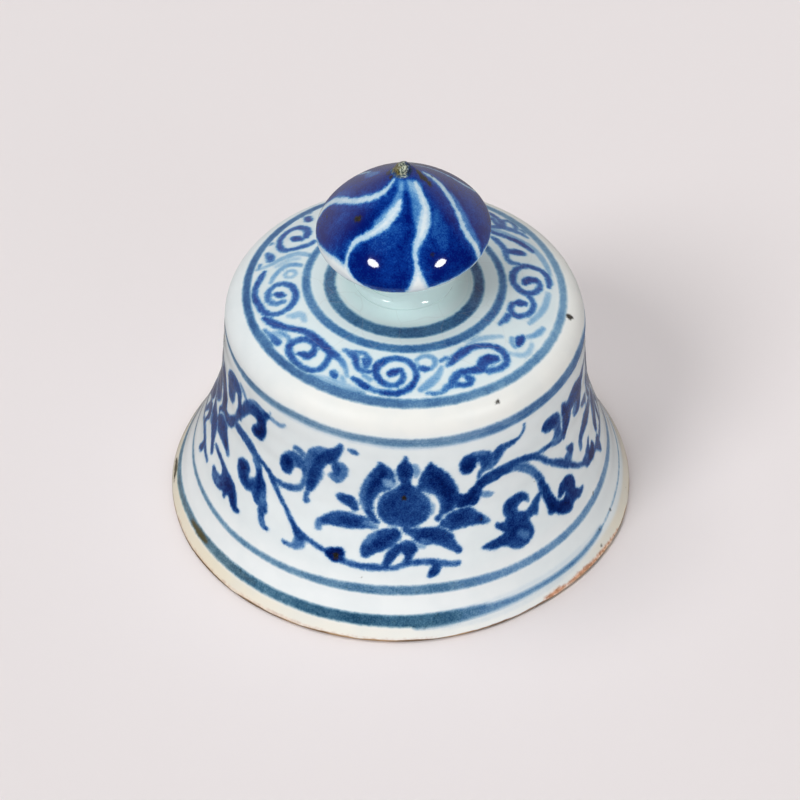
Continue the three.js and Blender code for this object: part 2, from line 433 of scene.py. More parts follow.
FLOWER_STROKES = (
    (0.82, [(-3.2, 19.3, 1.4), (-2.4, 21.2, 2), (-1.4, 23, 2.6), (0.2, 24.8, 2.8)]),
    (0.7, [(-14.8, 19.7, 1.6), (-10, 19.1, 1.6), (-6, 19.2, 1.8), (-3, 19.5, 1.4), (-0.5, 19.4, 1.2),
        (1.6, 20.2, 1.4), (4, 20.8, 1.6), (8, 20.9, 1.6), (11, 20.4, 1.8), (14, 19.7, 1.5),
        (17, 19.3, 1.4)]),
    (0.9, [(10.6, 20.4, 1.6), (10.9, 19.2, 2.2), (10, 17.8, 2.3), (9.2, 17.1, 1.4)]),
    # Where the brush was fuller.
    (1.0, [(-16, 31, 2), (-12, 31, 2)]),
    (1.0, [(0, 29, 1.6), (-3, 26.6, 2), (-7, 23.6, 2), (-9, 22.3, 1)]),
    (1.0, [(9.6, 46.5, 3), (12, 43, 3.4), (15, 40, 3.4), (15, 36.4, 2.6)]),
    (1.1, [(24.2, 30, 2.2), (25, 29.6, 1.4)]),
    (0.98, [(-5.2, 48.4, 1.4), (-4.6, 46.2, 2), (-6.6, 43.2, 1.6)]),
)
FLOWER_WASHES = (
    (0.5, [(4.8, 49, 1.6), (5.4, 47.4, 2), (5.2, 45.8, 1)]),
    (0.3, [(-1.2, 47.6, 0.8), (-0.8, 45.6, 0.9), (-0.2, 44, 0.6)]),
    (0.35, [(5.4, 25.6, 1.4), (7.4, 25.2, 1.4)]),
    (0.35, [(9.7, 36.4, 2.4), (9.8, 34.6, 1.6)]),
)
FLOWER_LIFTS = (
    (0.7, [(-4.2, 44.4, 1.2), (-3.1, 43.6, 2.6), (-1.9, 42.9, 1.4)]),
    (0.35, [(-9.9, 35.6, 1.2), (-10.6, 38.4, 1.6), (-10.4, 41.6, 1.6), (-9, 44.6, 1.2)]),
    (0.45, [(-23.3, 28, 1.6), (-23.1, 26.4, 1.4)]),
    (0.45, [(-9, 31.4, 1.4), (-6.6, 30.9, 1.6)]),
    (0.4, [(-8.4, 26, 1.6), (-6.6, 28, 1.6)]),
    (0.45, [(7.4, 26.6, 1.6), (9, 26.4, 1.2)]),
    (0.4, [(26.4, 29.2, 1.4), (27.2, 28.7, 1)]),
    (0.25, [(8, 41.6, 1.6), (10.6, 40.6, 1.2)]),
    (0.3, [(0, 19.5, 0.8), (1.6, 20, 0.8)]),
    (0.3, [(17.4, 35.4, 1), (17.8, 34.2, 1)]),
)
FLOWER_GAPS = (
    [(-3.9, 41.2, 0.35), (-5.6, 39.8, 0.7), (-6.6, 37.8, 0.85), (-6.7, 35.6, 0.9), (-5.9, 33.6, 0.7)],
    [(8.4, 31.3, 0.6), (9.6, 31.4, 0.9), (10.4, 31.9, 0.6)],
    [(1.3, 30.4, 0.3), (1.8, 29.2, 0.6), (2.6, 28.4, 0.6)],
)

# The scroll between one flower and the next: (load, outlines) and (load, strokes).
VINE_FILLS = (
    # The leaves at the left of the front flower.
    (0.78, [(-72.3, 48), (-71.7, 49.5), (-70.2, 50.8), (-67.9, 51.8), (-65.2, 52.2), (-62.5, 51.9),
        (-60.6, 50.9), (-59.5, 49.2), (-59.6, 46.5), (-60, 43.8), (-61.5, 43.6), (-61.6, 45.3),
        (-62.1, 47.3), (-62.9, 48.3), (-64.2, 47.8), (-64.4, 46.4), (-64.4, 45), (-64.9, 43.6),
        (-66, 42.8), (-68.3, 42.7), (-70.2, 43.7), (-71.3, 45.3)]),
    (0.8, [(-60.2, 42), (-59.8, 44.5), (-58.9, 46.7), (-57.9, 48.4), (-56.8, 50), (-54.9, 51.3),
        (-52.6, 52.5), (-50.3, 52.8), (-48, 52.4), (-45.7, 52), (-44.6, 51.4), (-45.1, 50.2),
        (-45.7, 48.9), (-45.3, 47), (-45.5, 45), (-46.2, 43.4), (-47.6, 42.4), (-49.9, 42.3),
        (-51.7, 42.7), (-52, 44), (-51.1, 45.3), (-49.9, 46.4), (-50.2, 47.4), (-51.8, 47.8),
        (-53.7, 47.3), (-55.3, 46), (-56.8, 44.3), (-57.9, 43.2), (-58.7, 41.7)]),
    (0.82, [(-51, 37.5), (-47, 36.9), (-45.7, 35.3), (-44.6, 33.3), (-43, 31.7), (-42.1, 29.7),
        (-41.5, 27.3), (-40.5, 26), (-40.2, 24.3), (-40.8, 22.7), (-40.3, 21.3), (-39.6, 20.4),
        (-38.2, 20.1), (-38.4, 19.5), (-39.7, 19.2), (-41.5, 19.8), (-42.8, 21.3), (-43.4, 23),
        (-43.8, 24.2), (-45.3, 24.5), (-46.5, 25.7), (-47.6, 26.3), (-49.5, 25.7), (-51.4, 26),
        (-53.3, 26.7), (-54.9, 28), (-55.8, 29.7), (-55.8, 31.3), (-54.5, 32.7), (-52.2, 33.2),
        (-50.4, 32.7), (-49.7, 31.6), (-50, 30.3), (-49.5, 29.4), (-48.4, 30), (-47.2, 31), (-47, 32.3),
        (-48, 33.7), (-49.5, 35)]),
    (0.9, [(-69.8, 26.3), (-65.6, 26.4), (-61.8, 25.7), (-58.7, 25), (-57.2, 24.7), (-54.9, 23.8),
        (-53, 22.3), (-52, 20.7), (-51.1, 19.3), (-49.9, 19), (-49.7, 18.3), (-51.4, 17.5),
        (-53.3, 17.8), (-54.9, 19), (-56.4, 19.5), (-57.2, 18), (-57.9, 18), (-58.7, 19), (-60.6, 18.3),
        (-62.9, 18.2), (-65.2, 18.5), (-66.7, 20), (-67.1, 21), (-66, 21.5), (-64.1, 21.3),
        (-62.1, 21.7), (-61.8, 22.7), (-62.9, 24), (-65.2, 24.8), (-68.3, 25.2), (-70.4, 25.6)]),
    (0.62, [(-38.6, 40.3), (-38.4, 42), (-37.5, 43.7), (-35.8, 45), (-33.5, 45.7), (-31.6, 45.3),
        (-29.5, 44.6), (-28.6, 42), (-28.6, 38.6), (-29.2, 36.4), (-30.6, 34.9), (-33, 33.9),
        (-36, 33.5), (-39.8, 33.9), (-40.4, 35), (-36.5, 35.1), (-33.5, 35.8), (-31.2, 36.8),
        (-30.2, 38.4), (-30.1, 40), (-30.5, 41.4), (-31.9, 41.6), (-33.1, 41.1), (-33.7, 40),
        (-34.1, 38.7), (-35.8, 38), (-37.3, 38.3), (-38.2, 39.3)]),
    (1.02, [(-38.3, 40.3), (-37.9, 42.4), (-36.4, 43.6), (-34.6, 43), (-33.7, 41.6), (-34, 39.4),
        (-35.4, 38.4), (-37.3, 38.8)]),
    (0.56, [(-30.3, 44.6), (-29.1, 47.4), (-27.9, 49.2), (-25, 50.6), (-21.7, 51), (-19.3, 52.4),
        (-18.5, 53.7), (-17.4, 53.2), (-17.3, 51.2), (-18.4, 49.4), (-18.8, 47.6), (-20.2, 46.2),
        (-21.5, 46.4), (-23, 45.8), (-23.6, 44.3), (-23.2, 42), (-24, 40.3), (-25.1, 38.3),
        (-26.1, 36.7), (-27.9, 35.6), (-28.7, 37.1), (-29.1, 40.3)]),
    (0.46, [(-19.6, 48.6), (-18.6, 48), (-16.8, 47.6), (-15.4, 46.2), (-15.6, 44), (-17.3, 42),
        (-18.8, 41.2), (-20.7, 42), (-21.7, 43), (-20.7, 44), (-20.3, 45.6)]),
    (0.45, [(-34.4, 46.6), (-33.4, 47.8), (-31.8, 48), (-30.4, 47.2), (-29.4, 46.6), (-30.4, 45),
        (-32.4, 46), (-33.6, 46.2)]),
    (0.42, [(-33, 19.6), (-32.6, 18.7), (-31, 18.3), (-28.6, 18.5), (-26.8, 19.4), (-26, 21),
        (-26.6, 22.6), (-29, 22.4), (-29.8, 21.2), (-29.9, 20), (-31.5, 19.6)]),
    (0.8, [(-32, 25.5), (-29.8, 24.7), (-27.5, 23.9), (-26, 23.5), (-26, 22.2), (-28, 21.6),
        (-29.6, 21.8), (-30.6, 23.2)]),
    # The knot where the scroll leaves the front flower, and the leaves at its right.
    (1.02, [(17.6, 38.7), (20.5, 38.4), (22.2, 39.6), (24, 41), (27, 42.2), (27, 39.4), (25.9, 38.4),
        (25.1, 37), (24.4, 35.3), (23.2, 34.5), (20.2, 34.8), (17.6, 35)]),
    (0.72, [(18.6, 47), (19, 49), (20.3, 50.2), (22.6, 50.7), (25.6, 50.6), (27.9, 49.8), (29.6, 48.6),
        (30.3, 49.3), (31.6, 50.1), (34, 50.1), (37, 50), (39.2, 50.2), (40.6, 51.4), (41.2, 53.2),
        (41.8, 52.6), (41.2, 50.8), (39.4, 49.2), (37, 48.3), (34.4, 48), (32.9, 46.6), (31.4, 45.2),
        (29.6, 43.9), (27.8, 43.5), (26.2, 43.4), (25.2, 42.3), (24.2, 42), (24.8, 44), (25.6, 45.4),
        (25.2, 46.8), (24.5, 47.4), (23.8, 46.2), (22.8, 44.9), (21.4, 44.3), (19.9, 44.6),
        (19, 45.7)]),
    (1.08, [(18.8, 47), (19.4, 49), (21, 49.9), (23, 49.4), (24, 47.6), (23.6, 46), (22.4, 44.9),
        (20.6, 44.8), (19.3, 45.6)]),
    (0.78, [(49.4, 46.8), (49.7, 48.3), (51.3, 49.2), (53.6, 49.1), (56.2, 48.7), (57.8, 47.6),
        (58.5, 46), (58.7, 44), (59, 41.6), (60.2, 39.6), (59.6, 38.2), (57.4, 38.2), (55, 38.8),
        (52, 39.8), (48, 40.5), (48, 41.4), (51, 41.2), (54, 41.2), (55, 42.2), (55.3, 43.4),
        (54.4, 44.4), (52.4, 44.7), (50.5, 45.4)]),
    (0.85, [(59.7, 49.3), (61, 49), (63.2, 48), (64.6, 48.8), (66.8, 49.9), (69, 50.4), (71.4, 49.8),
        (74, 49.4), (77, 50.2), (80.5, 50.4), (80, 49), (77.6, 47.2), (75.2, 46), (74.8, 44),
        (73.7, 42), (72.4, 40.4), (70.1, 39.6), (67.9, 40), (66.7, 41.3), (67, 42.8), (68.2, 43.9),
        (66, 43.4), (64.8, 41.7), (63.3, 40.4), (61.7, 39.2), (60.3, 37.6), (59.2, 38.8), (59.4, 40.7),
        (59.8, 43.3), (59.5, 46)]),
    (0.9, [(32.1, 29.7), (32.5, 31.3), (34.1, 32.3), (36.4, 32.8), (38.7, 32.7), (40.6, 31.7),
        (41.4, 30.3), (41.3, 28.7), (40.6, 29.3), (39.4, 29.8), (37.5, 29.4), (36.9, 28.3),
        (37.9, 27.3), (39.8, 26.7), (41.7, 27.3), (43.6, 28.7), (45.2, 29.2), (46.4, 29.4), (46.2, 28),
        (45.5, 27.1), (44.8, 26), (44, 24.7), (43.4, 23.6), (42.5, 24.3), (40.9, 24.2), (40.6, 23.3),
        (41.1, 21.7), (41.3, 20), (40.2, 18.7), (38.3, 17.8), (36, 17.5), (33.7, 18.3), (31.8, 19.7),
        (29.9, 20.2), (27.2, 20.3), (25.3, 21), (24.2, 21.7), (25.6, 22.3), (28.3, 22.8), (30.6, 23.2),
        (31.8, 23.7), (31, 24.4), (29.9, 25.3), (29.2, 26.3), (29.5, 27.2), (31, 26.7), (32.5, 26.7),
        (32.9, 27.4), (32.3, 28.3)]),
    (0.98, [(46.2, 32.2), (46.4, 29.7), (46.7, 27.3), (47.3, 25), (47.6, 22.7), (48, 21.2),
        (49.7, 20.6), (51.3, 19.7), (53.2, 18.3), (55.5, 17.5), (57, 17.6), (58.3, 18.6), (60.1, 18.4),
        (62, 18.2), (64, 18.6), (64.7, 19.4), (63, 19.8), (61.8, 20.7), (60.9, 21.8), (61.3, 23),
        (61.3, 24.4), (60.4, 26), (58.5, 26.8), (56.2, 27), (54.3, 26.3), (53, 25), (52.7, 23.8),
        (54, 23.2), (55.7, 23.5), (55.8, 22.6), (54.6, 22.2), (53.2, 22.4), (52, 23.3), (51.1, 25),
        (50.3, 27), (49.7, 29), (48.7, 30.7), (48.4, 32.2)]),
    (0.5, [(60.2, 34.8), (61, 34.8), (62.5, 34.2), (64.2, 33.7), (65, 32.3), (64, 31), (62.1, 29.7),
        (60.6, 30.3), (59, 31.7), (59.4, 32.7), (61, 33)]),
    (0.85, [(67.9, 25), (70.1, 25.3), (72.4, 26.3), (74.4, 27.7), (75.7, 27.5), (74.7, 26), (74, 24.7),
        (74.2, 23), (76, 22.5), (78, 22.3), (77.4, 21.6), (74.4, 21.5), (71.3, 21.5), (69.2, 22),
        (68.4, 23.2)]),
    (0.9, [(77, 22.2), (79, 22.8), (81, 23.1), (82.6, 22.8), (82.6, 19), (81.4, 17.9), (79.7, 19),
        (78.2, 20.7)]),
)
VINE_STROKES = (
    (0.9, [(-72, 36.4, 2.6), (-68, 36.2, 3), (-65.4, 37, 3), (-63.4, 38.6, 2.6), (-61.6, 40.6, 2.1),
        (-60.4, 43, 2.2), (-59.6, 45.5, 2.4)]),
    (0.4, [(-61, 52.3, 1.2), (-59, 51.6, 1.6), (-57.5, 50.6, 1.4)]),
    (0.28, [(-45, 51.6, 1.6), (-42, 51.2, 1.4), (-39.5, 51.2, 1.3), (-38, 52.2, 0.9)]),
    (0.3, [(-44.6, 51.8, 0.6), (-44.1, 53.2, 0.5)]),
    (0.82, [(-60.6, 39, 2.2), (-57, 39, 2.6), (-53, 38.6, 3), (-50, 37.6, 2.8), (-47, 37, 1.6),
        (-44.6, 36.3, 1.4), (-42, 35.2, 1.7), (-39.2, 32.8, 1.6), (-36.5, 30.3, 1.4),
        (-33.5, 27.7, 1.2), (-31.2, 25.3, 1.6), (-28.4, 23.4, 1.7), (-25.5, 22.6, 1.4),
        (-23, 21.8, 1.3), (-20, 21, 1.2)]),
    (0.85, [(-27.5, 36.6, 1.4), (-26.9, 39, 2), (-26, 42, 2.4), (-24.6, 45.4, 2.7), (-22, 48.4, 3),
        (-19.8, 50.4, 2.4), (-18.2, 52.6, 1.2)]),
    (0.7, [(-20, 48, 1.4), (-19.4, 45.8, 2.2), (-19, 44.2, 1.4)]),
    (0.72, [(-27.9, 33.3, 1.7)]),
    (0.75, [(-32.6, 19, 0.9)]),
    (0.6, [(-28, 35.4, 1.2), (-28.2, 34, 0.9)]),
    (0.6, [(-15.2, 52.2, 1), (-13.9, 51.9, 1.9), (-13.2, 51.6, 1.2)]),
    (1.05, [(-49.4, 44, 2.4), (-47.4, 45.4, 3), (-47.6, 48, 2.6)]),
    (1.0, [(-53.6, 30.6, 3), (-52.4, 28.4, 2.4), (-49, 27.4, 1.6)]),
    (1.0, [(-45.6, 32, 1.6), (-44.8, 29, 2), (-44.8, 26.4, 1.4)]),
    (1.02, [(-58, 22.6, 2), (-55, 21.2, 2.6), (-52.6, 18.8, 1.4)]),
    (0.35, [(25.5, 37.2, 1.4), (27.5, 36.4, 1.8), (29, 36.2, 1)]),
    (0.86, [(25.5, 40.6, 2.6), (28, 41.1, 3.6), (31, 41.6, 3.4), (35, 42.3, 2.6), (39, 42.4, 1.9),
        (42.5, 41.6, 1.8), (45.5, 40.6, 1.7), (48, 38.8, 1.5), (50, 36.9, 1.4), (52, 35.3, 1.4),
        (54, 33.9, 1.9), (57, 31.9, 2.2), (59.6, 29.9, 2), (62.5, 27.6, 1.4), (65.5, 25.4, 1.2),
        (68.4, 24.1, 1.4)]),
    (0.7, [(33, 41.4, 2.2), (37.5, 41.2, 2.2), (40.5, 39.6, 2.2), (43.2, 37.6, 2.2), (45.4, 35, 2),
        (46.9, 32.6, 2.2), (46.9, 30.4, 2.2)]),
    (0.45, [(44, 41.7, 0.9), (47.5, 40.9, 1.1), (51, 40.5, 1.2)]),
    (1.0, [(50.6, 47, 2.2), (53, 47, 3), (55, 46.2, 2.8)]),
    (1.0, [(60.6, 48, 1.2), (61.4, 45, 2.8), (61.8, 42, 3.4), (60.8, 39.6, 1.8)]),
    (1.12, [(47.8, 29, 1.6), (48.6, 25.6, 2.6), (50.4, 22.4, 2.8), (53, 20.2, 2.8), (56, 19.6, 2.6)]),
    (0.85, [(61.4, 34, 0.8), (63, 33, 1.8), (63.6, 31.8, 1)]),
    (0.42, [(79, 50, 1.4), (84, 50.8, 1.2)]),
)
VINE_LIFTS = (
    (0.45, [(-56, 51, 1), (-52.4, 52, 1.4), (-48, 51.6, 1.2)]),
    (0.35, [(-49.4, 36, 1.8), (-47.4, 34.6, 2)]),
    (0.3, [(-43.4, 27.6, 2.4), (-42.2, 25.6, 1.6)]),
    (0.35, [(-41.8, 21.4, 1), (-40.4, 20, 1)]),
    (0.35, [(-65.4, 19.8, 2), (-62, 19.8, 2)]),
    (0.5, [(36.9, 21.4, 2), (38.2, 20.4, 2.4)]),
    (0.3, [(26, 43.4, 1.6), (29, 45, 1.6), (29.6, 47.4, 1)]),
    (0.35, [(27, 50, 1.2), (24, 50.2, 0.8)]),
    (0.4, [(54.6, 40.4, 1.8), (57.6, 39.8, 2)]),
    (0.5, [(67.6, 41.6, 2.2), (69.4, 42.8, 1.8)]),
    (0.45, [(71.4, 24, 1.6)]),
    (0.3, [(37, 40.8, 1.2), (41, 39, 1.2), (44.4, 35.6, 1.2)]),
)
WASH = 0.68  # how strong a wash is beside a stroke of the same load
# How far round each flower is from the front one, how much higher, and how tall it is above the pod.
FLOWERS = (
    (-88.4, 0.2, 0.8), (0, 0, 1), (92, 2.0, 0.95), (180, -0.3, 0.9),
)
POD_MIDDLE = 35  # mm up the wall
VINE_TURNS = (0, 180)
WALL_BRUSH = 1.15  # how much fuller the brush was on the wall than on the crown


def moved(points, turn, up, tall=1):
    """Points of the wall turned and raised, and brought down above the pod where tall is less than 1."""
    return [(u + turn, v + up - (1 - tall) * max(v - POD_MIDDLE, 0), *rest) for u, v, *rest in points]


def paint_wall(wall):
    for where in FLOWERS:
        wall.paint(FLOWER_FILLS, FLOWER_STROKES, FLOWER_WASHES, FLOWER_LIFTS, FLOWER_GAPS, WALL_BRUSH,
                   lambda points: moved(points, *where))
    for turn in VINE_TURNS:
        wall.paint(VINE_FILLS, VINE_STROKES, lifts=VINE_LIFTS, fullness=WALL_BRUSH,
                   place=lambda points: moved(points, turn, 0))


# The lines round the shoulder and the skirt: (azimuth in degrees, mm up the wall, width, load).
SHOULDER_LINE = (
    (-180, 56.6, 2.2, 0.36), (-100, 56.2, 1.6, 0.42), (-75, 56.4, 1.6, 0.44), (-50, 57, 1.6, 0.42),
    (-35, 57.4, 1.7, 0.38), (-20, 57.1, 1.8, 0.36), (-6, 56.7, 1.9, 0.37), (10, 56.4, 2.1, 0.38),
    (35, 56.5, 2.7, 0.46), (60, 56.8, 2.8, 0.54), (100, 56.8, 2.6, 0.47), (180, 56.6, 2.2, 0.36),
)
MIDDLE_LINE = (
    (-180, 13.1, 2, 0.33), (-100, 13, 1.3, 0.4), (-75, 13, 1.3, 0.4), (-50, 12.3, 1.4, 0.36),
    (-28, 12.7, 1.8, 0.38), (-10, 13.1, 2.3, 0.47), (12, 13.4, 2.3, 0.47), (30, 13.1, 2.1, 0.36),
    (60, 13.2, 2.1, 0.38), (100, 13.6, 2.1, 0.34), (180, 13.1, 2, 0.33),
)
LOWER_LINE = (
    (-180, 5.6, 1.2, 0.3), (-120, 5.3, 2.2, 0.42), (-80, 4.8, 2.1, 0.44), (-60, 4.6, 2.2, 0.44),
    (-40, 4.7, 2.6, 0.5), (-20, 4.8, 3, 0.62), (4, 5.1, 3.1, 0.7), (14, 5.3, 2.6, 0.58),
    (20, 5.4, 1.9, 0.5), (26, 5.2, 1, 0.44), (32, 5.2, 0.5, 0.42), (38, 5.3, 0.2, 0.44),
    (46, 5.2, 0.2, 0.46), (54, 5.2, 0.2, 0.46), (72, 5.6, 0.3, 0.46), (95, 5.8, 0.4, 0.44),
    (130, 6, 0.6, 0.36), (180, 5.6, 1.2, 0.3),
)
# A pale wash beside the lines: (load, stroke).
HAZE = (
    (0.03, [(6, 4.7, 4.4), (20, 4.9, 5.4), (36, 5.2, 5), (52, 5.4, 4), (64, 5.6, 2.4)]),
    (0.06, [(-60, 56.6, 2.4), (-20, 56.4, 3), (8, 55.9, 3.6), (40, 56.2, 3.6), (70, 56.4, 3)]),
)


def ruled_lines(wall):
    azimuths = np.arange(-180, 181, 5)
    a = np.radians(azimuths)
    for line, smoke in ((SHOULDER_LINE, 0.5), (MIDDLE_LINE, 0.65), (LOWER_LINE, 0.95)):
        at, *columns = np.array(line, float).T
        rises, widths, loads = (np.interp(azimuths, at, column) for column in columns)
        rises = rises + 0.12 * np.sin(3 * a + 1)
        widths = widths * (1 + 0.05 * np.sin(5 * a))
        smokes = smoke * (1 - 0.65 * smooth_step(6, 24, azimuths))
        wall.band(list(zip(azimuths, rises, widths)), loads, smokes)
    for load, points in HAZE:
        wall.stroke(points, load, layer="wash")


# Rust and brown stains at the rim, and brown ones in the lowest line: (load, stroke).
RUST_STROKES = (
    (0.95, [(39, 0.4, 0.5), (43, 0.6, 1.4), (47, 0.4, 0.8), (51, 0.6, 1.3), (56, 0.5, 1.1),
        (62, 0.5, 1), (70, 0.3, 0.5)]),
    (0.4, [(-70, 0.3, 0.6), (-50, 0.3, 0.6), (-28, 0.3, 0.8), (-10, 0.2, 0.5), (10, 0.2, 0.4)]),
    (0.5, [(128, 0.4, 1.2), (140, 1, 2), (156, 0.6, 1.2)]),
)
RIM_UMBER = (
    (1.1, [(-90, 1.3, 0.6), (-87, 1.8, 1.7), (-84.5, 1.8, 1.6), (-82, 1.2, 0.6)]),
)
LINE_UMBER = (
    (0.95, [(-64.5, 4.2, 0.6), (-61.5, 4.1, 1.5), (-58.8, 4.2, 1.5), (-56.6, 4.3, 0.6)]),
    (0.3, [(-80, 4.6, 0.9), (-72, 4.5, 1), (-66, 4.4, 1)]),
    (0.22, [(-66, 4.4, 2), (-56, 4.4, 2.6), (-46, 4.5, 2.2), (-38, 4.6, 1)]),
)
# How creamy the thin glaze at the rim is: (azimuth in degrees, share).
RIM_CREAM = (
    (-180, 0.5), (-100, 1), (-50, 0.95), (-28, 0.6), (0, 0.35), (30, 0.12), (52, 0.25), (70, 0.8),
    (100, 0.9), (180, 0.5),
)
# Iron flecks: (azimuth in degrees, mm up the wall, radius), and (x, y, radius) on the crown and, as plan
# directions, on the knob.
WALL_FLECKS = (
    (67.8, 14.2, 0.5), (71.5, 5.6, 0.45), (63.8, 5.6, 0.35), (61.8, 1.9, 0.4), (1.9, 39.2, 0.75),
    (-16.7, 20.5, 0.8), (24.8, 29.6, 0.45), (-9.3, 16, 0.25),
)
CROWN_FLECKS = ((41.2, -6.4, 1.0), (23, -35.9, 0.6))
KNOB_FLECKS = (
    (-13.3, -9, 0.7), (-12.2, -9.4, 0.7), (-23, -1.2, 0.35), (9.2, -20.1, 0.35), (3.9, 0.4, 1),
    (4.7, -0.5, 0.9), (5.8, -0.6, 0.9), (7, -1.3, 0.7), (7.6, -1.7, 0.45), (7.9, 2.2, 0.3),
    (-3.8, 0.6, 0.7), (-3, -1.6, 0.4),
)


def stain_wall(wall):
    for load, points in LINE_UMBER:
        wall.stroke(points, load, layer="umber")
    for fleck in WALL_FLECKS:
        wall.fleck(*fleck)


def stain_rim(rim):
    for load, points in RUST_STROKES:
        rim.stroke(points, load, layer="rust")
    for load, points in RIM_UMBER:
        rim.stroke(points, load, layer="umber")


# Rings: middle, radius, width, how much wider at the front, load, how much more at the right, how smoky. At
# the innermost ring the more at the right is partly a fuller brush and partly painted shadow of the knob.
CROWN_RINGS = (
    ((0.6, 0.2), 39.25, 2.0, 0.2, 0.52, -0.28, 0.45),
    ((0.3, 0.0), 24.25, 1.8, 0.7, 0.6, 0.12, 0.35),
    ((0.3, -0.3), 18.4, 2.5, 1.1, 0.68, 0.2, 0.65),
)
CROWN_BRUSH = 0.9  # how wide the scroll's strokes are, of the widths given
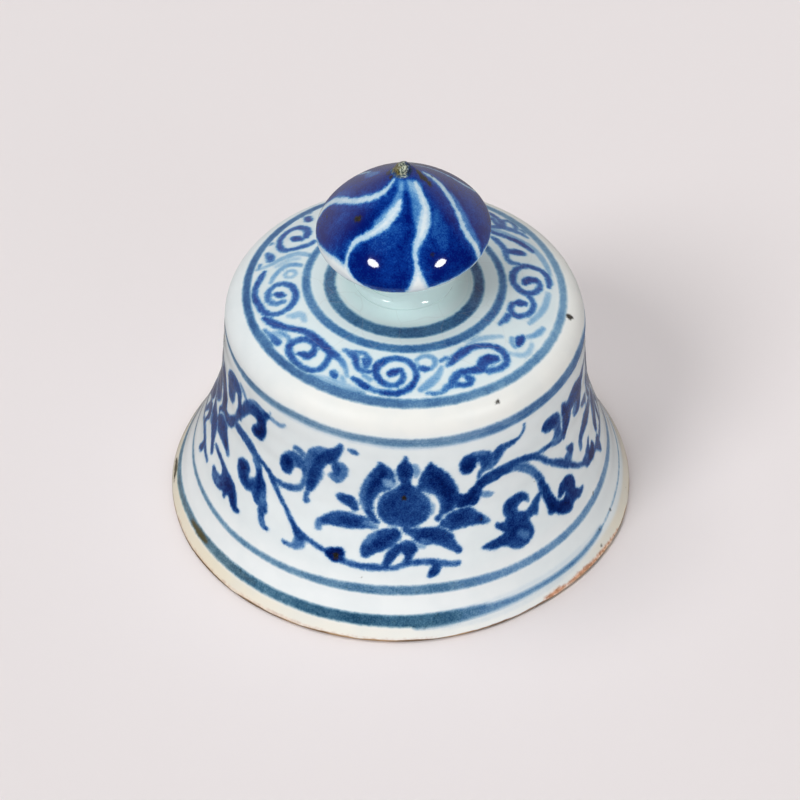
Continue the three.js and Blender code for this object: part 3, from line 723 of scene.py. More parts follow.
# The scroll, by (x, y, width) in mm: (load at the start, load at the end, stroke).
CROWN_STROKES = (
    (1.0, 0.8, [(-34.3, 5, 1), (-35, 3.4, 2), (-35.8, 1.2, 1.8), (-36.4, -1, 1.6), (-36.4, -3, 1.6),
        (-36, -5, 1.7), (-35.1, -7, 1.8), (-34, -9.3, 1.9), (-32.4, -10.8, 1.6), (-30.2, -11.1, 1.4),
        (-28.2, -10, 1.7), (-26.8, -8.2, 1.8), (-26.3, -6, 1.8), (-26.6, -4, 1.8), (-27.6, -2.1, 1.8),
        (-29.4, -0.9, 1.8), (-31.4, -1, 1.6)]),
    (0.7, 0.5, [(-31.4, -1, 1.6), (-32.8, -2.4, 1.7), (-33.2, -4.4, 1.7), (-32.6, -6.4, 1.7),
        (-31, -7.6, 1.7), (-29.2, -7.2, 1.6)]),
    (0.95, None, [(-31.2, -4.2, 1.4), (-30.2, -4.8, 2.2), (-29.3, -5.2, 1.4)]),
    (1.1, 1.05, [(-33.6, -11.6, 1.4), (-32.4, -13, 2), (-30.6, -14.6, 2.2), (-28.4, -15.9, 1.8),
        (-26, -17, 1.7), (-24, -17.9, 1.8), (-22, -19.3, 2), (-20.4, -21, 2.3), (-19, -22.8, 2.2),
        (-17.6, -24.4, 2.2), (-16, -26, 2)]),
    (0.8, 0.3, [(-16, -26, 2), (-14.8, -27.2, 1.8), (-13.8, -28.8, 1.5), (-13.2, -30.4, 1.3),
        (-13, -32, 1)]),
    (0.9, 1.0, [(-11.4, -32.6, 1), (-10, -33.6, 1.6), (-8.2, -34.8, 1.7)]),
    (0.6, 0.6, [(-8.2, -34.8, 1.6), (-6.6, -35.7, 1.4), (-5, -36.2, 1.2), (-4, -36.5, 1.4)]),
    (1.05, 0.85, [(-4.2, -36.4, 1.5), (-2, -36.6, 1.6), (0, -36.3, 1.6), (1.7, -35.4, 1.7),
        (3.1, -33.9, 1.5), (3.7, -32, 1.5), (3.2, -29.9, 1.5), (1.8, -28.2, 1.6), (0, -27.4, 1.6),
        (-2, -27.3, 1.8), (-4, -28, 2)]),
    (1.05, 0.8, [(-4, -28, 2), (-5.6, -29.4, 2.2), (-6, -31.2, 1.9), (-5.3, -32.9, 1.8),
        (-3.8, -34.2, 1.5), (-1.9, -34.6, 1.4), (-0.2, -33.9, 1.4), (0.6, -32.2, 1.3),
        (0, -30.6, 1.3)]),
    (1.15, None, [(-0.6, -30.7, 1.6), (-1.6, -31.1, 2.3), (-2.6, -31.5, 1.8)]),
    (0.85, 0.85, [(-17.6, -24.8, 1), (-17.5, -26.4, 1.6), (-18.2, -28.3, 1.7), (-19.8, -29.5, 1.6),
        (-22, -29.3, 1.6), (-24.1, -28, 1.6), (-25.9, -26, 1.7), (-27, -23.8, 1.9), (-27.3, -21.9, 2),
        (-26.1, -20.7, 2), (-24, -20.4, 1.8), (-22, -21.1, 1.8), (-21, -22.7, 1.6),
        (-21.1, -24.3, 1.8)]),
    (1.1, None, [(-21.3, -25, 1.8), (-22.4, -25.4, 2.3), (-23.6, -24.9, 1.8), (-24.6, -24.4, 1)]),
    (0.6, 0.9, [(-13.8, -24.6, 1), (-12.4, -25.5, 1.7), (-11, -27, 2.2)]),
    (0.9, 0.7, [(-11, -27, 2.2), (-10.8, -28.6, 1.7), (-10.2, -30, 1.4), (-8.8, -30.9, 1.4),
        (-7, -31.1, 1.1)]),
    (0.55, 0.75, [(-11.6, -25.4, 1.1), (-9.8, -25.6, 1.3), (-8.3, -26.4, 1.3), (-7.7, -28, 1.5),
        (-8.2, -29.6, 1.5)]),
    (0.8, None, [(-9, -27.6, 1.2), (-8.6, -28.8, 1.4)]),
    (0.9, None, [(4.4, -29.8, 1.2), (5.5, -30, 2), (6.6, -29.8, 1)]),
    (0.6, None, [(9.4, -27.4, 0.9), (10.6, -26.4, 1.1), (11.6, -26.6, 0.9)]),
    (0.45, None, [(10.8, -28.6, 1)]),
    (1.0, 0.85, [(11.8, -27.7, 1.6), (13, -26.1, 2.3), (14.6, -24.4, 2.5), (16.4, -22.9, 2),
        (18.6, -22, 1.7), (21, -21.6, 1.6), (23.4, -22, 1.9), (24.9, -23.4, 2), (25.2, -25.2, 1.8),
        (24.3, -26.8, 1.7), (22.6, -27.9, 1.7), (20.8, -28.7, 1.8)]),
    (1.2, 0.9, [(22.4, -25, 2.4), (20.8, -25.5, 2.9), (19.5, -26.8, 3), (19, -28.2, 2.9),
        (17, -29.2, 2.1), (15, -29.8, 2), (13.3, -30.9, 2.2), (12.5, -32.2, 2.2)]),
    (0.9, 0.7, [(12.5, -32.2, 2.2), (12, -33.4, 2), (10.9, -34.4, 1.7), (9.8, -35.6, 1.1)]),
    (0.85, 0.9, [(13, -33.3, 1.8), (15, -33.2, 1.5), (16.5, -32.5, 1.4), (16.8, -31.5, 1.6),
        (15.9, -31.2, 1.8)]),
    (0.55, None, [(6.4, -36.2, 1), (8.2, -36.1, 1.1), (9.8, -35.7, 0.9)]),
    (1.1, 0.9, [(36.1, 1.9, 0.9), (36.3, 4, 2), (35.8, 6.2, 2), (34.4, 7.6, 1.7), (32.4, 8.1, 1.7),
        (30.2, 7.9, 1.8), (28.4, 6.6, 1.7), (27.3, 4.6, 1.7), (27, 2.4, 1.7), (27.4, 0.4, 1.8),
        (28.6, -1.4, 2), (30.1, -2.4, 2.2), (31.7, -2, 1.9), (33, -0.8, 1.7), (33.8, 0.8, 1.7),
        (33.8, 2.4, 1.8), (33, 3.4, 1.8)]),
    (1.3, None, [(32.6, 3.3, 2), (31.3, 2.8, 2.5), (30.3, 1.8, 2.2), (29.9, 1, 1.2)]),
    (0.85, 0.95, [(30.8, -3, 1.6), (31.8, -4.6, 1.5), (32.1, -6.4, 1.5), (31.4, -8.5, 1.6),
        (30, -10.1, 1.5), (28, -10.9, 1.7), (26.7, -10, 1.7), (26.4, -8.4, 1.7), (26.9, -7, 1.6)]),
    (1.2, None, [(27.6, -6.6, 1.4), (28.9, -6.2, 2.6), (29.8, -6.1, 1.8)]),
    (0.75, None, [(25.7, -11, 1.7), (25.2, -12.4, 2), (24.2, -13.6, 1.3), (23.6, -14.4, 1)]),
    (1.05, None, [(29.2, -17.4, 1.8), (28.5, -18.4, 2.6), (28.1, -19.8, 1.6)]),
    (0.75, 0.6, [(22, 18, 1.2), (23.2, 16.7, 1.8), (24.4, 15, 1.8), (25.2, 13.2, 1.8),
        (25.4, 11.4, 1.6), (25.8, 9.6, 1.5), (26.8, 8.3, 1.6), (28.6, 8.2, 1.4)]),
    (1.1, None, [(26.4, 12.9, 2), (28.2, 13, 2.8), (29.6, 13.1, 2)]),
    (0.85, 0.6, [(22.4, 28, 0.9), (22.7, 26, 1.5), (23.7, 24.3, 2.1), (25.5, 23.5, 2.4),
        (27.5, 23, 2.2), (29.4, 22.4, 1.6), (31, 21.3, 1)]),
    (0.6, 0.75, [(28.2, 23.8, 1.5), (28, 26, 1.6), (26.6, 27.7, 1.7), (25.1, 27.1, 1.7),
        (24.6, 26.2, 1)]),
    (0.5, None, [(29, 24.6, 1), (30.4, 23.6, 1.3)]),
    (0.75, 0.9, [(-22.4, 14.6, 1.2), (-24, 13.3, 1.5), (-26, 12.6, 1.5), (-28, 12.2, 1.5),
        (-29.9, 12.4, 2), (-31, 14.4, 1.8), (-31.1, 17, 1.7), (-30.2, 19.6, 1.7), (-28.6, 21.4, 1.8),
        (-26.6, 22, 2.1), (-25, 21, 2.2), (-24.2, 19, 2), (-24.6, 17, 1.9)]),
    (1.0, None, [(-25.6, 16.2, 1.8), (-27, 16.7, 2.8), (-27.8, 17.2, 1.6)]),
    (1.0, None, [(-24.6, 26.6, 2), (-24.2, 25, 2.2)]),
    (0.6, None, [(-34, 12.4, 1.4), (-33.3, 10.8, 2.6), (-33, 9.4, 2.4)]),
    (0.85, None, [(-33.1, 10.2, 1.8)]),
    (0.4, None, [(-33.2, 16.6, 1.4)]),
    (0.4, None, [(-35.6, 8.4, 1), (-35.8, 7, 1)]),
    (0.8, None, [(-16.3, -30.8, 1.8), (-15.8, -31.6, 1.9)]),
    (0.55, 0.85, [(-33.6, -15.4, 1), (-32.2, -17, 1.4), (-30.8, -19, 2.1), (-30, -20.2, 1.9)]),
    (0.45, None, [(-30.4, -16.8, 0.9), (-28.4, -18.2, 1.2), (-27.2, -20, 1.1)]),
)
CROWN_WASHES = (
    (0.5, [(3.6, -27.6, 1), (4.8, -26.5, 1.2), (6.4, -26.2, 1.3), (7.8, -26.9, 1.3), (8, -28.5, 1.2),
        (7.2, -29.8, 1)]),
    (0.35, [(3.9, -28.8, 0.8), (4.4, -29.8, 0.8)]),
    (0.4, [(9.6, -29.2, 1), (8.8, -31.4, 1.8), (7, -33.6, 2.2), (4.8, -35.4, 1.6)]),
    (0.3, [(36, -0.6, 1.6), (35.6, -3, 1.7), (34.8, -6, 1.8), (33.4, -9, 1.6), (32, -11, 1.4),
        (31, -12.4, 1.2)]),
    (0.45, [(30.6, -16.8, 1.2), (32, -16, 1.5), (33.4, -14.6, 1.8), (34.4, -13, 1.4)]),
    (0.4, [(26.6, -18.2, 1.2), (26.5, -19.6, 1.2), (27.4, -20.8, 0.9)]),
    (0.25, [(16, -21.6, 0.8), (18.2, -20, 1.6), (21, -19, 1.6), (24, -18.2, 1.2)]),
    (0.22, [(25.8, -22.8, 1), (28.6, -22.7, 1.5), (30.6, -21.4, 1.4), (31.6, -18.6, 1.2)]),
    (0.36, [(22.4, 21.6, 1.4), (25, 20.6, 1.9), (28, 19.1, 2.2), (31, 17.5, 2.3), (33.2, 15.4, 2.2),
        (34.8, 12.6, 2), (36, 9.6, 1.7), (36.6, 7.2, 1.2)]),
    (0.35, [(-26, 27.6, 1), (-25.4, 28.8, 1.2), (-24, 29, 1)]),
    (0.3, [(-36.2, 6.6, 1), (-33, 7.3, 1.4), (-30, 9, 1.7), (-26.5, 10, 1.9), (-23.6, 9.3, 1.4)]),
    (0.2, [(-31.6, 6, 1), (-28.6, 7.8, 1.4), (-26, 8, 1.2)]),
    (0.5, [(-32.6, 0.4, 1), (-31.8, 2.6, 1.4), (-30.6, 4.4, 1.5), (-29, 5.7, 1.5), (-27.4, 5.9, 1.7),
        (-25.6, 5.4, 1.4)]),
    (0.35, [(-29.3, 2.2, 1), (-28.6, 3.5, 1.1), (-27.2, 3.5, 1.1), (-26.6, 2.2, 1.1), (-27.6, 1.1, 1),
        (-29, 1.4, 1)]),
    (0.25, [(-27.8, -12.4, 1.4), (-26.4, -12.6, 2.2), (-24.8, -12.4, 2), (-23.8, -14.6, 1.4)]),
    (0.4, [(-34.4, -16, 1.4), (-33, -18.6, 1.8), (-31.6, -20.6, 1.5)]),
    (0.3, [(-31.4, -16.8, 1), (-29.4, -18.4, 1.2)]),
    (0.25, [(-23.6, -30.6, 1.2), (-20, -31.8, 2.2), (-16.4, -33.4, 2.8), (-12.8, -35, 2.4),
        (-9, -36.4, 1.4)]),
    (0.3, [(-14, -32.2, 1.2), (-13.4, -34, 1.2)]),
    (0.4, [(-8.8, -32, 1), (-7.4, -33, 1.4)]),
)
HIDDEN_COPIES = range(3, 16)  # strokes of the front that repeat behind the knob
HIDDEN_TURN = 186  # degrees


def turned(points, degrees):
    """Strokes of the crown turned about its axis, at the brush's width."""
    c, s = math.cos(math.radians(degrees)), math.sin(math.radians(degrees))
    return [(c * x - s * y, s * x + c * y, w * CROWN_BRUSH) for x, y, w in points]


def paint_crown(crown):
    a = np.radians(np.arange(-180, 181, 6))
    for (x, y), radius, width, front, load, right, smoke in CROWN_RINGS:
        widths = width + front * np.maximum(np.cos(a), 0) + 0.12 * np.sin(3 * a + radius)
        ring = list(zip(x + radius * np.sin(a), y - radius * np.cos(a), widths))
        # The innermost ring's extra cobalt at the right is partly a fuller brush and partly painted shadow
        # of the knob, which falls there.
        crown.band(ring, load * (1 + right * np.sin(a)), np.full(len(a), smoke))
    hidden = [CROWN_STROKES[i] for i in HIDDEN_COPIES]
    for strokes, turn in ((CROWN_STROKES, 0), (hidden, HIDDEN_TURN)):
        for load, end_load, points in strokes:
            crown.stroke(turned(points, turn), load, end_load)
    crown.paint(washes=CROWN_WASHES)
    for fleck in CROWN_FLECKS:
        crown.fleck(*fleck)


# White lines between the knob's petals: plan directions, with lengths down the bud, in mm.
PETAL_GAPS = (
    [(-2.3, -2.4, 0.5), (-4.3, -4.2, 1.3), (-6.7, -4.9, 1.7), (-10.4, -4.4, 1.9), (-14.6, -2.2, 1.8),
        (-18.3, 1.6, 2.0), (-21.4, 4.5, 2.4), (-24.4, 5.4, 2.6), (-27.2, 5.2, 4.5), (-29.8, 5, 7)],
    [(-0.7, -8, 0.8), (-1.3, -9.6, 1.8), (-2.8, -11.4, 2.4), (-5.5, -13.5, 2.6), (-9.2, -14.7, 2.1),
        (-13.3, -15.2, 1.6), (-15.3, -16.4, 1.1), (-16.4, -18, 0.8), (-17.2, -19.8, 1.2),
        (-18, -21.6, 4), (-18.8, -24, 8), (-19.2, -27, 12)],
    [(3, -3.2, 0.8), (4, -4.6, 1.6), (5.3, -6.6, 1.9), (6.3, -8.7, 2.2), (6.6, -11, 2.9),
        (6.4, -13.4, 3.1), (5.7, -15.8, 2.5), (4.8, -17.8, 2), (4.1, -19.9, 1.3), (4.2, -21.7, 1.2),
        (4.6, -23.7, 1.4), (5, -25.8, 2.4), (5.2, -28, 4.4), (5.3, -30, 6)],
    [(5.6, 1.6, 0.9), (8, 1.7, 1.5), (10.4, 0.7, 1.9), (12.7, -1.3, 1.9), (15.2, -4.3, 1.5),
        (16.9, -6.9, 1.5), (18.5, -9.8, 1.7), (20.6, -11.8, 1.8), (23, -13.2, 1.8), (24.8, -15, 1.6),
        (26, -17, 2.2), (27, -19, 4.5)],
    [(3.2, 5.4, 0.5), (6, 8, 0.8), (9.5, 9.8, 0.9), (14, 10.4, 1), (18.5, 10.4, 1.2), (21.5, 11.6, 1.5),
        (23.6, 14.4, 2.4), (24.8, 17.4, 5)],
    [(-0.4, 5.2, 0.8), (0.8, 9, 1.2), (3.4, 13, 1.7), (6, 17, 1.9), (7.4, 21, 1.8), (7.4, 25, 2.6),
        (7.6, 29.6, 6)],
    [(-9.6, 9.4, 0.6), (-12, 12.8, 1.6), (-14, 17, 2), (-16.6, 21.4, 3.4), (-18.6, 24.6, 6)],
)
# Places where the brush was running dry, beside the lines and round the point: (how much less, stroke).
PETAL_LIFTS = (
    (0.62, [(-0.4, -3.6, 0.8), (-0.9, -6.2, 1.6), (-2.6, -9.2, 1.8), (-5, -11, 1.4), (-7.4, -12, 1)]),
    (0.62, [(1.4, -3.4, 1), (2.8, -6, 2), (3.7, -8.8, 2.2), (4.1, -11.4, 2), (4.4, -13.6, 1)]),
    (0.5, [(14.2, -0.2, 1), (16.6, -3.4, 1.8), (18.9, -6.8, 2), (21.2, -9.6, 1.6), (23.4, -11.4, 1)]),
    (0.5, [(-1, -3.6, 2), (0.8, -4.2, 3), (3.6, -3.8, 2.2)]),
    (0.16, [(-17, -6.5, 4), (-20, -9.5, 5), (-21, -13, 4)]),
    (0.25, [(-8, -18.5, 3), (-4, -17.5, 4), (0, -14.5, 3)]),
    (0.3, [(10, -9.5, 2), (11.5, -13.5, 4), (12.6, -17, 2)]),
    (0.6, [(-7.2, 4.2, 1.6), (-9.2, 6.2, 2.6), (-10.4, 8.2, 1.6)]),
)
# How far down the bud the petals reach, in mm, by azimuth in degrees.
PETAL_ENDS = (
    (-180, 29), (-90, 28.8), (-62, 26.8), (-50, 26), (-42, 26.2), (-36, 28.6), (-26, 30.2), (-10, 31),
    (6, 30.4), (28, 29.4), (48, 29.4), (66, 28.6), (90, 28.6), (180, 29),
)
KNOB_BRUSH = 1.34  # how full the brush was on the knob
KNOB_BLUSH = 0.03  # how strong the blue in the lines between the petals is


def paint_bud(bud):
    x, y = bud.flat[:, 0], bud.flat[:, 1]
    down = np.hypot(x, y)
    end = read_off(PETAL_ENDS, np.degrees(np.arctan2(x, -y)))
    mottle = 0.05 * np.sin(x / 2.1 + 1) + 0.05 * np.sin(y / 1.7 + x / 4)
    bud.edge["dark"][:] = end - down
    bud.edge["wash"][:] = end + 0.4 - down
    bud.load["dark"][:] = KNOB_BRUSH + mottle
    for points in PETAL_GAPS:
        bud.gap(points, wider=0.1)
    bud.paint(lifts=PETAL_LIFTS)
    bud.load["wash"][:] = KNOB_BLUSH * smooth_step(27.5, 23, down)
    for layer in bud.edge:
        bud.edge[layer] = np.maximum(bud.edge[layer], FAR)
    for fleck in KNOB_FLECKS:
        bud.fleck(*fleck)


# Meshes
def stacked(rings, capped=False):
    """Vertices and faces of rings given as (radius, height, count). Where the count halves from one ring
    to the next, or doubles, triangles join them. The last ring joins the first, or both get flat caps."""
    starts = np.cumsum([0] + [n for _, _, n in rings])
    azimuth = np.concatenate([np.arange(n) * 360 / n - 180 for _, _, n in rings])
    radius = np.concatenate([np.full(n, r) for r, _, n in rings])
    height = np.concatenate([np.full(n, z) for _, z, n in rings])
    faces = []
    for i in range(len(rings) - 1 if capped else len(rings)):
        j = (i + 1) % len(rings)
        n, m = rings[i][2], rings[j][2]
        a, b = starts[i], starts[j]
        if n == m:
            k = np.arange(n)
            quads = np.stack([a + k, a + (k + 1) % n, b + (k + 1) % n, b + k], 1)
            faces += [tuple(q) for q in quads.tolist()]
            continue
        fine, coarse, flip = (a, b, False) if n > m else (b, a, True)
        small, large = min(n, m), max(n, m)
        for k in range(small):
            f = [fine + 2 * k, fine + 2 * k + 1, fine + (2 * k + 2) % large]
            c = [coarse + k, coarse + (k + 1) % small]
            for face in ((f[0], c[0], f[1]), (f[1], c[0], c[1]), (f[1], c[1], f[2])):
                faces.append(face if flip else face[::-1])
    if capped:
        faces += [tuple(range(rings[0][2]))[::-1], tuple(range(starts[-2], starts[-1]))]
    return around(azimuth, radius, height), azimuth, faces


SHARP_ANGLE = 40  # degrees


def placed(name, data):
    """A new object in the scene."""
    piece = bpy.data.objects.new(name, data)
    bpy.context.scene.collection.objects.link(piece)
    return piece


def new_piece(name, points, faces, materials):
    mesh = bpy.data.meshes.new(name)
    mesh.from_pydata((points * MM).tolist(), [], faces)
    mesh.validate()
    mesh.update()
    for material in materials:
        mesh.materials.append(material)
    mesh.shade_smooth()
    mesh.set_sharp_from_angle(angle=math.radians(SHARP_ANGLE))
    return placed(name, mesh)


def rings_of(line, count):
    """Rings through the (radius, height) points of a line, each with count vertices."""
    return [(r, z, count) for r, z in line]


def extent(node):
    """Radius, bottom and top of a piece of clay, in mm."""
    low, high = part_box(node)
    return high.x / MM, low.z / MM, high.z / MM


def give(piece, **values):
    """Float attributes, one value for each vertex or one for all."""
    for name, value in values.items():
        attribute = piece.data.attributes.new(name, "FLOAT", "POINT")
        full = np.broadcast_to(np.asarray(value, np.float32), (len(piece.data.vertices),))
        attribute.data.foreach_set("value", np.ascontiguousarray(full))


def glaze_values(piece, **others):
    """Everything that the painted glaze reads. What isn't given stays plain."""
    values = {name: FAR for name in (*LAYERS, "iron")}
    values.update({layer + "_load": 0 for layer in LAYERS})
    values.update(rise=30, smoke=0, pool=0, cream=0, cool=0, thin=0, royal=0, crazed=0, dull=0)
    give(piece, **{**values, **others})


def spread(brushworks, n):
    """The layers of several brushworks on parts of one mesh, as attributes."""
    out = {"smoke": np.zeros(n), "iron": np.full(n, FAR)}
    for layer in LAYERS:
        out[layer] = np.full(n, FAR)
        out[layer + "_load"] = np.zeros(n)
    for found, work in brushworks:
        for layer in work.edge:
            out[layer][found] = np.maximum(out[layer][found], work.edge[layer])
            out[layer + "_load"][found] = np.maximum(out[layer + "_load"][found], work.load[layer])
        out["smoke"][found] = np.maximum(out["smoke"][found], work.smoke)
        out["iron"][found] = np.maximum(out["iron"][found], work.iron)
    return out


BELL_COLUMNS = 540
# How the rim moved in the kiln: (azimuth in degrees, mm outwards).
RIM_WARP = (
    (-180, -1.0), (-150, -2.2), (-125, -3.0), (-105, -2.2), (-90, -1.2), (-77, -0.4), (-60, 0.5),
    (-43, 0.7), (-20, 0.4), (0, -0.1), (21, -0.9), (35, -1.3), (46, -1.0), (63, 0), (72, 0.5),
    (95, 0.4), (120, 0), (180, -1.0),
)
BODY_SHIFT = 0.75  # mm: how far the body sits to the right of its rim
WAIST_TUCK = 0.5  # mm: how much tighter the waist is than the plain form's
WAIST_AT = 32  # mm
WAIST_SPREAD = 8.5  # mm
SEARCH = 12  # mm, each way along a line of sight
MOST_TURN = 3  # degrees
MOST_CLIMB = 2  # mm


def settled(points, azimuth):
    """Points of the bell as it settled in the kiln: the body moved to the right, the waist drawn in and the
    rim warped."""
    height = points[:, 2]
    radius = np.maximum(np.hypot(points[:, 0], points[:, 1]), 1)
    drawn_in = WAIST_TUCK * np.exp(-(((height - WAIST_AT) / WAIST_SPREAD) ** 2))
    warp = read_off(RIM_WARP, azimuth) * smooth_step(46, 0, height) * smooth_step(14, 40, radius)
    kept = 1 + (warp - drawn_in) / radius
    right = BODY_SHIFT * smooth_step(4, 40, height) * smooth_step(8, 26, radius)
    return np.stack([points[:, 0] * kept + right, points[:, 1] * kept, height], 1)


def traced_spots(points, azimuth, rise):
    """The strokes were traced on the plain form. For each point of the settled one, this gives the azimuth
    and rise of the plain form's spot that a viewer in front sees in the same place. Where the wall turns
    away from that viewer the strokes just move with the surface."""
    e = math.radians(CAMERA_ELEVATION)
    eye = np.array(CAMERA_TARGET) + CAMERA_DISTANCE * np.array([0, -math.cos(e), math.sin(e)])
    ray = points - eye
    ray /= np.linalg.norm(ray, axis=1, keepdims=True)
    steps = np.linspace(-SEARCH, SEARCH, 97)
    gap = np.empty((len(points), len(steps)))
    for i, step in enumerate(steps):
        p = points + step * ray
        gap[:, i] = np.hypot(p[:, 0], p[:, 1]) - np.interp(p[:, 2], OUTSIDE[:, 1], OUTSIDE[:, 0])
    crosses = (gap[:, :-1] > 0) != (gap[:, 1:] > 0)
    cost = np.where(crosses, np.abs(steps[:-1] + steps[1:]) / 2, np.inf)
    i = cost.argmin(1)
    rows = np.arange(len(points))
    before, after = gap[rows, i], gap[rows, i + 1]
    share = before / np.where(before == after, 1, before - after)
    met = np.isfinite(cost[rows, i])
    step = np.where(met, steps[i] + (steps[1] - steps[0]) * share, steps[gap.argmin(1)])
    spot = points + step[:, None] * ray
    along = np.gradient(OUTSIDE, OUTSIDE_LENGTHS, axis=0)
    outwards, upwards = (np.interp(rise, OUTSIDE_LENGTHS, column) for column in along.T)
    normal = around(azimuth, upwards, -outwards)
    facing = -(ray * normal).sum(1) / np.linalg.norm(normal, axis=1)
    seen = smooth_step(0.08, 0.5, facing)
    turn = (np.degrees(np.arctan2(spot[:, 0], -spot[:, 1])) - azimuth + 180) % 360 - 180
    climb = np.interp(spot[:, 2], OUTSIDE[:, 1], OUTSIDE_LENGTHS) - rise
    return (
        azimuth + seen * MOST_TURN * np.tanh(turn / MOST_TURN),
        rise + seen * MOST_CLIMB * np.tanh(climb / MOST_CLIMB),
    )


PAINTED_RISE = 66  # mm up the wall, where the wall's paint ends
CROWN_EDGE = 43.5  # mm from the axis, where the crown's paint ends
TOP_FROM = 60  # mm: the crown is above this
RIM_PAINT = 5  # mm up the wall, where the stains at the rim end
BEHIND = -50  # degrees: shapes that run past the back reach no further round than this


def bell_rings():
    """The bell's rings, from inside the rim over the outside to the lining, and where the ones outside
    begin and end among them."""
    land_inside = RIM_RADIUS - RIM_LAND
    rounding = arc((RIM_RADIUS - RIM_ROUND, RIM_ROUND), RIM_ROUND, RIM_ROUND, -72, -18, 3)
    lining = offset(respaced(WALL_LINE, 1.6), WALL)[::-1]
    lining = lining[(lining[:, 1] > RIM_LAND) & (lining[:, 0] < land_inside)]
    under = CROWN_HEIGHT - CROWN_THICKNESS
    inner_roll = arc(ROLL_CENTRE, ROLL_IN - WALL, ROLL_UP - CROWN_THICKNESS, 90, 15, 6)
    half, quarter = BELL_COLUMNS // 2, BELL_COLUMNS // 4
    shown = respaced(OUTSIDE, 0.55)
    rings = rings_of([(land_inside, 0), (RIM_RADIUS - RIM_ROUND, 0), *rounding], BELL_COLUMNS)
    first = len(rings)
    rings += rings_of(shown[shown[:, 0] > 16], BELL_COLUMNS)
    rings += rings_of([(r, CROWN_HEIGHT) for r in (15, 13, 11, 9)], half)
    rings += rings_of([(r, CROWN_HEIGHT) for r in (7, 5, 3, VENT_RADIUS)], quarter)
    last = len(rings)
    rings += rings_of([(r, under) for r in (VENT_RADIUS, 4, 8)], quarter)
    rings += rings_of([(r, under) for r in (12, 14, 18, 20, TABLE_RADIUS)], half)
    rings += rings_of([*inner_roll, *lining, (land_inside, 0.6)], half)
    return rings, first, last


def bell_paint(points, azimuth, rise, outside):
    """The brushwork on the bell's vertices, as attributes."""
    body = settled(points, azimuth)
    radius = np.hypot(points[:, 0], points[:, 1])
    wall_at = np.flatnonzero(outside & (rise < PAINTED_RISE))
    rim_at = np.flatnonzero(outside & (rise < RIM_PAINT))
    crown_at = np.flatnonzero(outside & (radius < CROWN_EDGE) & (rise > TOP_FROM))
    spots = traced_spots(body[wall_at], azimuth[wall_at], rise[wall_at])
    wall = Brushwork(on_wall(*spots), np.stack(spots, 1), on_wall)
    # Shapes behind run on past 180 degrees, so the vertices there count on from that as well.
    behind = wall.flat[:, 0] < BEHIND
    seam = Brushwork(wall.points[behind], wall.flat[behind] + (360, 0), on_wall)
    rim = Brushwork(points[rim_at], np.stack([azimuth, rise], 1)[rim_at], on_wall)
    x, y = body[crown_at, 0], body[crown_at, 1]
    crown = Brushwork(on_crown(x, y), np.stack([x, y], 1), on_crown)
    paint_wall(wall)
    paint_wall(seam)
    ruled_lines(wall)
    stain_wall(wall)
    stain_rim(rim)
    paint_crown(crown)
    works = [(wall_at, wall), (wall_at[behind], seam), (rim_at, rim), (crown_at, crown)]
    return spread(works, len(points))


def bell_tones(points, azimuth, rise, outside):
    """Where the bell's glaze is thick, thin, creamy, bluer, crackled or dull, as attributes; the bluer one
    also carries painted shade on the left of the roll. Each step runs over mm up the wall, mm from the axis
    or degrees round."""
    radius = np.hypot(points[:, 0], points[:, 1])
    on_top = points[:, 2] > TOP_FROM
    roll = smooth_step(57, 60, rise) * smooth_step(69, 64, rise)
    cool = smooth_step(40, 36, radius) * on_top
    cool += 0.3 * smooth_step(14, 18, rise) * smooth_step(58, 55, rise)
    # Painted shade: the left of the roll is darkened with the bluer glaze, as if it were less lit than its
    # right.
    cool += 0.3 * roll * smooth_step(-15, -60, azimuth)
    cool += 0.25 * smooth_step(20, 50, azimuth) * smooth_step(110, 90, azimuth) * smooth_step(16, 12, rise)
    return {
        "pool": smooth_step(19, 13, radius) * on_top,
        "cream": roll * smooth_step(-75, -15, azimuth) * outside,
        "cool": cool * outside,
        "thin": read_off(RIM_CREAM, azimuth) * smooth_step(4.4, 2.8, rise) * outside,
        "royal": 0.8 * smooth_step(42, 38, radius) * on_top,
        "crazed": smooth_step(40, 30, radius) * on_top,
        "dull": smooth_step(55, 58, rise) * smooth_step(70, 66, rise) * outside,
    }


def bell():
    rings, first, last = bell_rings()
    points, azimuth, faces = stacked(rings)
    row = np.repeat(np.arange(len(rings)), [n for _, _, n in rings])
    row_rise = np.zeros(len(rings))
    row_rise[first:last] = lengths(np.array([ring[:2] for ring in rings[first:last]]))
    rise = row_rise[row]
    outside = (row >= first) & (row < last)
    # The potter's throwing left it a little uneven.
    radius = np.hypot(points[:, 0], points[:, 1])
    a = np.radians(azimuth)
    height = points[:, 2]
    uneven = 0.12 * np.sin(2 * a + math.radians(40)) + 0.1 * np.sin(3 * a + height / 9)
    uneven += 0.05 * np.sin(height * 1.15 + a) * outside
    out = (radius + uneven * smooth_step(14, 40, radius)) / radius
    bent = settled(points, azimuth) * np.stack([out, out, np.ones_like(out)], 1)
    piece = new_piece("bell_glazed", bent, faces, [make_glaze(), make_biscuit()])
    unglazed = [max(row[v] for v in face) >= last for face in faces]
    piece.data.polygons.foreach_set("material_index", np.array(unglazed, np.int32))
    give(piece, rise=np.where(outside, rise, -1.0), **bell_tones(points, azimuth, rise, outside),
         **bell_paint(points, azimuth, rise, outside))
    flatten_for_bake(piece, rings, azimuth, row, rise, first, last)
    return piece


BAKE_SIDE = 216  # mm of surface along a side of the bake's picture
BAKE_MARGIN = 1.0  # mm
STRIP_TURN = 120  # degrees round the wall in each strip
STRIP_LONG = 126  # mm
STRIP_TALL = 63
DISC_RADIUS = 44
WALL_TOP = 60  # mm up the wall, where the strips end and the disc begins


